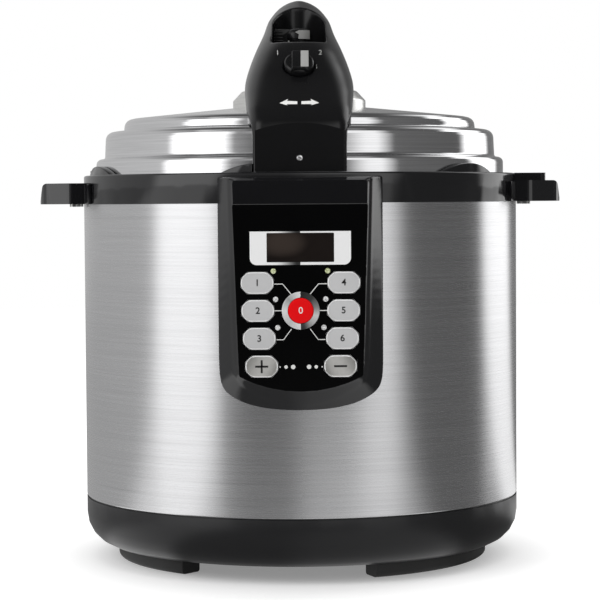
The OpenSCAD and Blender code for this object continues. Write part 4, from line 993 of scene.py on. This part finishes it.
# Selector knob: a turned disc on a shaft in the hood's seat, with a moulded grip bar across it and a
# pale pointer let into the bar.
KNOB_PROFILE = [(0, -2.7), (10.7, -2.7), (10.7, 2.6), (10.3, 3.5), (9.4, 4), (8.4, 3.7), (0, 3.7)]
GRIP_SIZE, GRIP_Z, GRIP_TAPER = (12.4, 19.6, 4.2), 4.5, (0.8, 0.92)
knob = spun("knob_disc", KNOB_PROFILE, 96)
bpy.ops.object.select_all(action="DESELECT")
bpy.ops.mesh.primitive_cube_add(size=1, location=(0, 0, GRIP_Z / 1000))
grip_bar = bpy.context.object
grip_bar.scale = [v / 1000 for v in GRIP_SIZE]
for vertex in grip_bar.data.vertices:
    if vertex.co.z > 0:
        vertex.co.x *= GRIP_TAPER[0]
        vertex.co.y *= GRIP_TAPER[1]
rounded_edges(settle(grip_bar), 0.8, 3, 20)
cut(knob, grip_bar, operation="UNION")
settle(knob, at_knob)
fit(smooth(knob, 40), "selector_knob_body", "handle_black", handle_black)
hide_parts("selector_knob")

pale_grey = moulded("pale_marks", (0.36, 0.36, 0.35), 0.45)
POINTER_SIZE, POINTER_PLACE = (5.6, 17.4, 0.5), (4.0, -0.3, 6.65)
pointer = block("knob_pointer", POINTER_SIZE, POINTER_PLACE, matrix=at_knob)
fit(smooth(pointer), "selector_knob_body", "handle_black", pale_grey)


# Limiting valve: a soft-topped black cap over its weight, which sits loose on the steam stem. A
# ribbed lever at its side turns it, and a pale pointer label is let into its front.
VALVE_Y, VALVE_Z = -36, 385.3
at_valve = Matrix.Translation((0, VALVE_Y / 1000, VALVE_Z / 1000))
CAP_PROFILE = [(0, 0.1), (8.6, 0.1), (9.2, 0.4), (9.8, 3.2), (10, 4.4), (9.3, 4.6), (9.3, 5.2), (10, 5.4),
               (9.9, 8.6), (9.4, 10.2), (8.2, 11.8), (6.2, 12.7), (3.4, 13.1), (0, 13.2)]
LEVER_SIZE, LEVER_PLACE = (12, 9, 9.8), (-12.4, 0, 7.7)
RIB_SIZE, SIDE_RIB_SIZE, RIB_LOW, RIB_STEP = (1.0, 9.6, 1.1), (5.6, 0.6, 1.1), 3.95, 2.2
lever = block("lever", LEVER_SIZE, LEVER_PLACE, 0.9)
cap = cut(spun("valve_cap", CAP_PROFILE, 96), lever, operation="UNION")
ribs = []
for k in range(4):
    height = RIB_LOW + RIB_STEP * k
    ribs.append(block(f"rib_{k}", RIB_SIZE, (-18.3, 0, height), 0.25))
    ribs.append(block(f"side_rib_{k}", SIDE_RIB_SIZE, (-14.9, -4.55, height), 0.2))
valve = settle(joined("valve_weight", smooth(cap, 40), *(smooth(rib) for rib in ribs)), at_valve)
fit(valve, "limiting_valve_body", "handle_black", handle_black)
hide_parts("limiting_valve")

LABEL_R, LABEL_LEFT, LABEL_WIDE, LABEL_LOW, LABEL_TALL = 10.12, -0.4, 8.4, 4.9, 6.4
LABEL_POINT, LABEL_SLANT, POINT_HIGH = 3.1, 0.7, 0.78


def label_place(share, step):
    """The label lies on the cap's front, with a pointed left end."""
    left = max(0, 1 - share * 4)
    point = LABEL_POINT * max(0, 1 - abs(step - POINT_HIGH) * 4.5)
    x = LABEL_LEFT + LABEL_WIDE * share + left * (LABEL_SLANT * step - point)
    return Vector((x, -math.sqrt(max(0, LABEL_R ** 2 - x * x)), LABEL_LOW + LABEL_TALL * step)) / 1000


label = settle(wrap("valve_label", 20, 12, label_place), at_valve)
modify(label, "SOLIDIFY", thickness=0.0002, offset=1)
MARK_SIZE, MARK_PLACE = (2.7, 0.4, 3.4), (-6.75, -6.6, 2.2)
mark = block("valve_mark", MARK_SIZE, MARK_PLACE, 0.1, matrix=at_valve)
fit(joined("valve_marks", smooth(label), smooth(mark)), "limiting_valve_body", "handle_black", pale_grey)


# Prints on the hood, in white ink on its curved front: the two turning arrows for the lid, the
# knob's end marks and its light dot. Each is drawn flat and laid on the hood.
INK_LIFT = 0.1


def laid_on(piece, target):
    """Lays an upright print on a surface, straight from the front."""
    return modify(piece, "SHRINKWRAP", target=target, wrap_method="PROJECT", use_project_x=False,
                  use_project_y=True, use_project_z=False, use_positive_direction=True,
                  use_negative_direction=True, offset=INK_LIFT / 1000)


def fine(piece):
    """Cuts a flat face up so that it can follow a curve."""
    choose(piece)
    bpy.ops.object.mode_set(mode="EDIT")
    bpy.ops.mesh.select_all(action="SELECT")
    bpy.ops.mesh.quads_convert_to_tris()
    bpy.ops.object.mode_set(mode="OBJECT")
    return modify(piece, "SUBSURF", subdivision_type="SIMPLE", levels=3, render_levels=3)


BEFORE_HOOD, ARROWS_Z, END_X, END_Z, DOT_X, DOT_Z = -300, 338.4, 15.5, 376.5, 12.6, 366
ARROW = [(1.45, 1.2), (8.6, 1.5), (7.9, 2.95), (13.95, -0.1), (8.4, -1.7), (8.6, -0.9), (1.45, -0.9)]
prints = []
for side, number in [(-1, "1"), (1, "2")]:
    arrow = flat_shape(f"arrow_{side}", [(x * side, z) for x, z in ARROW])
    prints.append(laid_on(fine(settle(arrow, on_front(0, ARROWS_Z, BEFORE_HOOD))), hood))
    end_mark = settle(digit(f"end_{side}", number, 5.2), on_front(END_X * side, END_Z, BEFORE_HOOD))
    prints.append(laid_on(end_mark, hood))
prints.append(laid_on(settle(digit("dot", "|", 3.4), on_front(DOT_X, DOT_Z, BEFORE_HOOD)), hood))
fit(joined("hood_prints", *prints), "lid", "handle_black", white_print)
